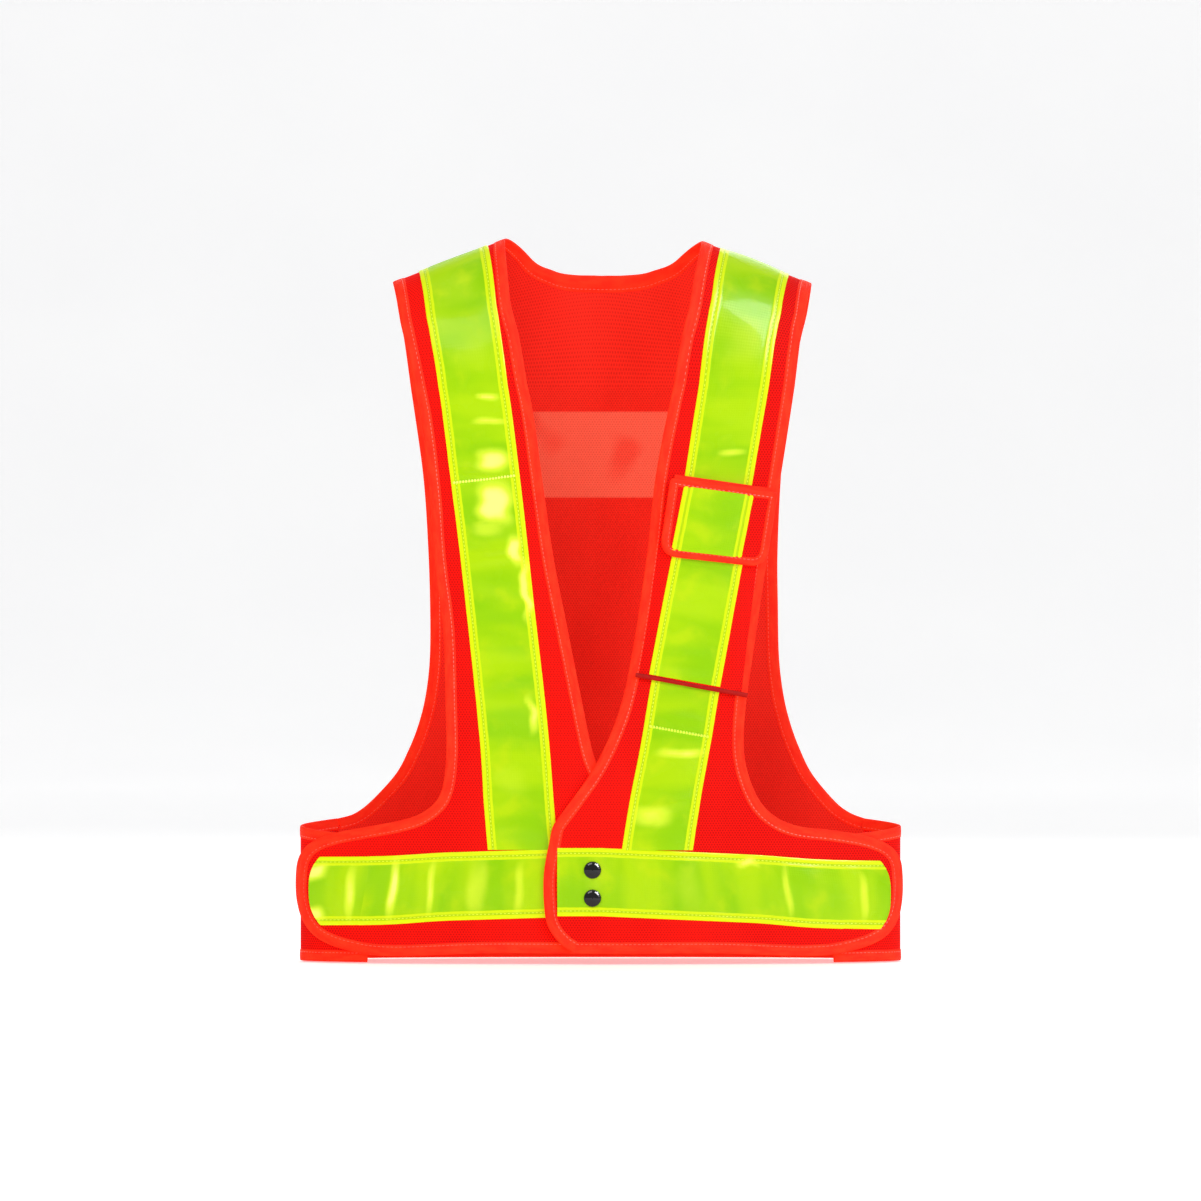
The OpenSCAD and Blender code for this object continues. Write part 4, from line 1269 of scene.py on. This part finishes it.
def pile_grid(name, points, material, cells, tall):
    """A patch with rounded corners whose upper side is a field of small tufts.

    points(u, v, h) gives the patch's surface for shares u, v and height h."""
    rows, cols = cells
    u, v = np.meshgrid(even(cols), even(rows))
    cu, cv = 2 * u - 1, 2 * v - 1
    r = np.maximum(np.abs(cu), np.abs(cv))
    squeeze = 1 - 0.05 * (np.abs(cu) * np.abs(cv)) ** 6
    cu, cv = cu * squeeze, cv * squeeze
    tuft = rng.uniform(0.35, 1.0, u.shape) * tall * (r < 0.97)
    uu, vv = (cu + 1) / 2, (cv + 1) / 2
    high, low = points(uu, vv, 0.35 + tuft), points(uu, vv, 0.0 * uu)
    return sheet_draft(low, high, np.stack([uu * 30, vv * 50], axis=-1)).make(name, material)


def tab_patches(rim):
    """Loop patch on the wing and hook patch under the tab."""
    def loop_at(u, v, h):
        start, end = arc_of(PATCH_TURNS[0]), arc_of(PATCH_TURNS[1])
        return on_fold(np.stack([rim.side * (start + (end - start) * u), 40 + 52 * v], axis=-1), h + 0.5)

    def hook_at(u, v, h):
        turn = PATCH_TURNS[0] + (PATCH_TURNS[1] - PATCH_TURNS[0]) * u
        return fold_point(turn, 40 + 52 * v, TAB_LIFT - 0.2 - h) * [rim.side, 1, 1]

    on_root(pile_grid(rim.word + "_loop_pile", loop_at, LOOP, (60, 30), 0.5), "hook_and_loop",
            rim.word + "_loop_patch")
    on_body(rim.word + "_tab", pile_grid(rim.word + "_hook_pile", hook_at, HOOK, (60, 30), 0.4),
            "hook_and_loop", rim.word + "_hook_patch")


def pocket_patches():
    """Loop patch on the pouch and hook patch under the flap."""
    def place(u, v):
        return flap_point(0.4 + 0.22 * u, 0.6 + 0.2 * v)

    def loop_at(u, v, h):
        return on_cloth(LEFT, POUCH_H + 2.3 + 0.8)(place(u, v), h)

    def hook_at(u, v, h):
        return flap_surface(place(u, v), -0.45 - 0.5 * h)

    for body, part, surface, pile in (("left_front", "loop", loop_at, LOOP),
                                      ("pocket_flap", "hook", hook_at, HOOK)):
        on_body(body, pile_grid("pocket_" + part + "_pile", surface, pile, (20, 28), 0.3), "hook_and_loop",
                "pocket_" + part + "_patch")


# ---- Edges of the fronts, neck and armholes ----

def front_edges(rim):
    """Bindings of a front: centre edge and hem, and armhole, each in a low and a high part."""
    word = rim.word
    for ride, part, name, over, nodes in (
            (on_lower, rim.edge_low, "_front_edge_low", rim.over, ["_front_edge_binding"]),
            (on_upper, rim.edge_high, "_front_edge_high", rim.over, []),
            (on_lower, rim.arm_low, "_armhole_low", rim.over, ["_front_armhole_binding"]),
            (on_upper, rim.arm_high, "_armhole_high", rim.over, []),
            (on_tab, rim.tab, "_tab_edge", RIGHT, ["_tab_binding"])):
        ride(binding(word + name, part, rim.side, on_cloth(over, 0.5)), rim, "binding",
             *[word + node for node in nodes])
    on_root(binding(word + "_armhole_back", rim.arm_back, rim.side, on_cloth(NO_LIFT, 0.5)), "binding",
            word + "_back_armhole_binding")


def neck_edge():
    path = np.vstack([right_rim.neck[::-1], left_rim.neck[1:]])
    piece = binding("neck_edge", path, 1, on_cloth(NO_LIFT, 0.5))
    on_root(piece, "binding", "neck_binding")


def tab_cloth(rim):
    inner = inset(rim.tab, rim.side * HIDDEN)
    s = np.maximum.accumulate(inner[:, 1]) + np.arange(len(inner)) * 1e-6
    levels = np.linspace(level(HEM_CLEAR + 1.5, 230), inner[-1, 1], 28)
    reach = np.stack([np.interp(levels, s, inner[:, 0]), levels], axis=-1)
    start = seam(height_of(levels) / KZ, rim.side)
    start[:, 1] = levels
    p = widths_by_turn(start, reach, 20)
    on_tab(cloth_sheet(rim.word + "_tab_cloth", p, MESH, over=RIGHT), rim, "mesh_fabric", rim.word + "_tab")


# ---- Snaps ----

def snaps():
    for part in ("caps", "sockets", "studs", "backs"):
        obj = frame["nodes"]["snap_" + part]
        material, slot_name = (SNAP_BLACK, "snap_black") if part == "caps" else (SNAP_METAL, "snap_metal")
        obj.data.materials.clear()
        obj.data.materials.append(material)


# ---- Stage, light and camera ----

def floor_look():
    look = Look("pale_floor", 0.9)
    where = look.node("TexCoord", {}, out=3)
    return look.color(look.mix(look.noise(where, 2.0), srgb(250, 250, 250), srgb(245, 245, 246)), 0.36)


def backdrop():
    """Pale floor that curves up into a wall behind the vest."""
    xs = np.linspace(-12, 12, 3)
    turn = np.linspace(0, math.pi / 2, 16)
    line = [(-12.0, -0.001)] + [(7.5 + 3 * math.sin(t), 2.999 - 3 * math.cos(t)) for t in turn]
    line += [(10.5, 12.0)]
    points = np.array([[x, y, z] for y, z in line for x in xs])
    faces = grid_faces(len(line), 3, flip=True)
    floor = new_object("backdrop", points, faces, materials=[floor_look()])


def area_light(name, place, target, size, power):
    data = bpy.data.lights.new(name, "AREA")
    data.shape = "RECTANGLE"
    data.size, data.size_y = size
    data.energy = power
    obj = bpy.data.objects.new(name, data)
    bpy.context.scene.collection.objects.link(obj)
    obj.location = place
    obj.rotation_mode = "QUATERNION"
    obj.rotation_quaternion = (Vector(target) - Vector(place)).to_track_quat("-Z", "Y")
    return obj


def lights():
    area_light("key", (-1.2, -3.2, 2.6), (0, 0, 0.35), (1.8, 1.4), 44)
    area_light("fill", (2.2, -2.6, 1.2), (0, 0, 0.3), (1.4, 1.6), 18)
    area_light("top", (0, 0.2, 3.2), (0, 0, 0.3), (2.2, 2.2), 9)
    glint = area_light("glint", (1.9, -1.9, 2.0), (0, 0, 0.1), (2.2, 2.0), 380)
    glint.visible_diffuse = False
    area_light("rear", (0.6, 2.6, 2.4), (0, 0, 0.4), (2.4, 1.6), 34)
    world = bpy.data.worlds.new("studio")
    world.use_nodes = True
    world.node_tree.nodes["Background"].inputs[0].default_value = (1, 1, 1, 1)
    world.node_tree.nodes["Background"].inputs[1].default_value = 0.5
    bpy.context.scene.world = world


# Width of the picture at the vest in metres, and the lens and sensor in millimetres
FRAME_W = 1.0569
LENS, SENSOR = 272.0, 36.0


def camera():
    data = bpy.data.cameras.new("camera")
    data.sensor_width = SENSOR
    distance = LENS / SENSOR * FRAME_W
    data.lens = LENS
    data.clip_end = 50
    obj = bpy.data.objects.new("camera", data)
    bpy.context.scene.collection.objects.link(obj)
    obj.location = (0, SHIFT_Y * MM - distance, EYE_Z * MM)
    obj.rotation_euler = (math.pi / 2, 0, 0)
    bpy.context.scene.camera = obj
    bpy.context.scene.view_settings.view_transform = "Standard"


# ---- The vest ----

# Creases are (place along, height, width, slant)
# Patches of painted highlight are (place along, place across, two half sizes, strength)
LEFT_CREASES = [(40, 0.7, 5, 0.3), (118, 0.5, 4, -0.2)]
RIGHT_CREASES = [(256, 0.9, 5, 0.15), (328, 1.0, 3, -0.1), (150, 0.5, 7, 0.3)]
RIGHT_SHINE = [(342, 8, 9, 13, 0.9), (304, 6, 18, 14, 0.95), (282, -4, 7, 14, 0.5), (262, 19, 12, 6, 0.9),
               (229, 24, 27, 4, 0.8), (398, 12, 3, 9, 0.8), (376, 8, 3, 14, 0.7), (430, 0, 14, 22, 0.25),
               (118, 18, 16, 4, 0.7), (60, -6, 14, 16, 0.3), (480, -4, 20, 22, 0.3)]
LEFT_SHINE = [(86, 4, 4, 20, 0.7), (30, -8, 9, 16, 0.6), (352, 8, 3, 12, 0.6), (250, 0, 16, 22, 0.35),
              (440, 4, 18, 20, 0.3), (150, 10, 6, 16, 0.4), (300, -6, 9, 20, 0.3)]
LEFT_WAIST_CREASES = [(60, 0.5, 6, 0.1), (150, 0.6, 7, -0.1)]
RIGHT_WAIST_CREASES = [(190, 0.8, 6, 0.12), (232, 1.0, 4, -0.08)]
LEFT_WAIST_SHINE = [(164, -22, 9, 4, 0.7), (196, 0, 3, 24, 0.6), (110, 0, 12, 24, 0.3), (30, 0, 8, 24, 0.25)]
RIGHT_WAIST_SHINE = [(193, -2, 4, 24, 0.85), (160, 0, 3, 22, 0.7), (120, 0, 9, 24, 0.5), (84, 2, 4, 22, 0.5),
                     (50, 0, 10, 24, 0.3), (222, 0, 4, 22, 0.5)]
LEFT_TAB_SHINE = [(262, 4, 4, 20, 0.6)]
RIGHT_TAB_SHINE = [(252, 0, 4, 22, 0.7), (283, -18, 9, 7, 0.8), (284, 18, 9, 6, 0.8)]

back_cloth()
hem()
neck_edge()
back_tapes()
for rim, tape_loop, slope, creases, patches, tab_patch in (
        (left_rim, left_tape_loop, LEFT_SLOPE, LEFT_CREASES, LEFT_SHINE, LEFT_TAB_SHINE),
        (right_rim, right_tape_loop, RIGHT_SLOPE, RIGHT_CREASES, RIGHT_SHINE, RIGHT_TAB_SHINE)):
    front_lower(rim)
    front_upper(rim)
    front_edges(rim)
    tab_cloth(rim)
    strap_tapes(rim, tape_loop, creases, patches)
    wing_cloth(rim)
    wing_binding(rim)
    side_seam(rim)
    tab_tape(rim, slope, tab_patch)
    tab_patches(rim)
waist_tape(left_rim, -37.0, LEFT_SLOPE, 0.7, LEFT_WAIST_CREASES, LEFT_WAIST_SHINE)
waist_tape(right_rim, 15.0, RIGHT_SLOPE, 1.9, RIGHT_WAIST_CREASES, RIGHT_WAIST_SHINE)
pouch()
pouch_tape()
foot_band()
flap_cloth()
flap_tape()
flap_edge()
flap_tongue()
pocket_patches()
snaps()

backdrop()
lights()
camera()
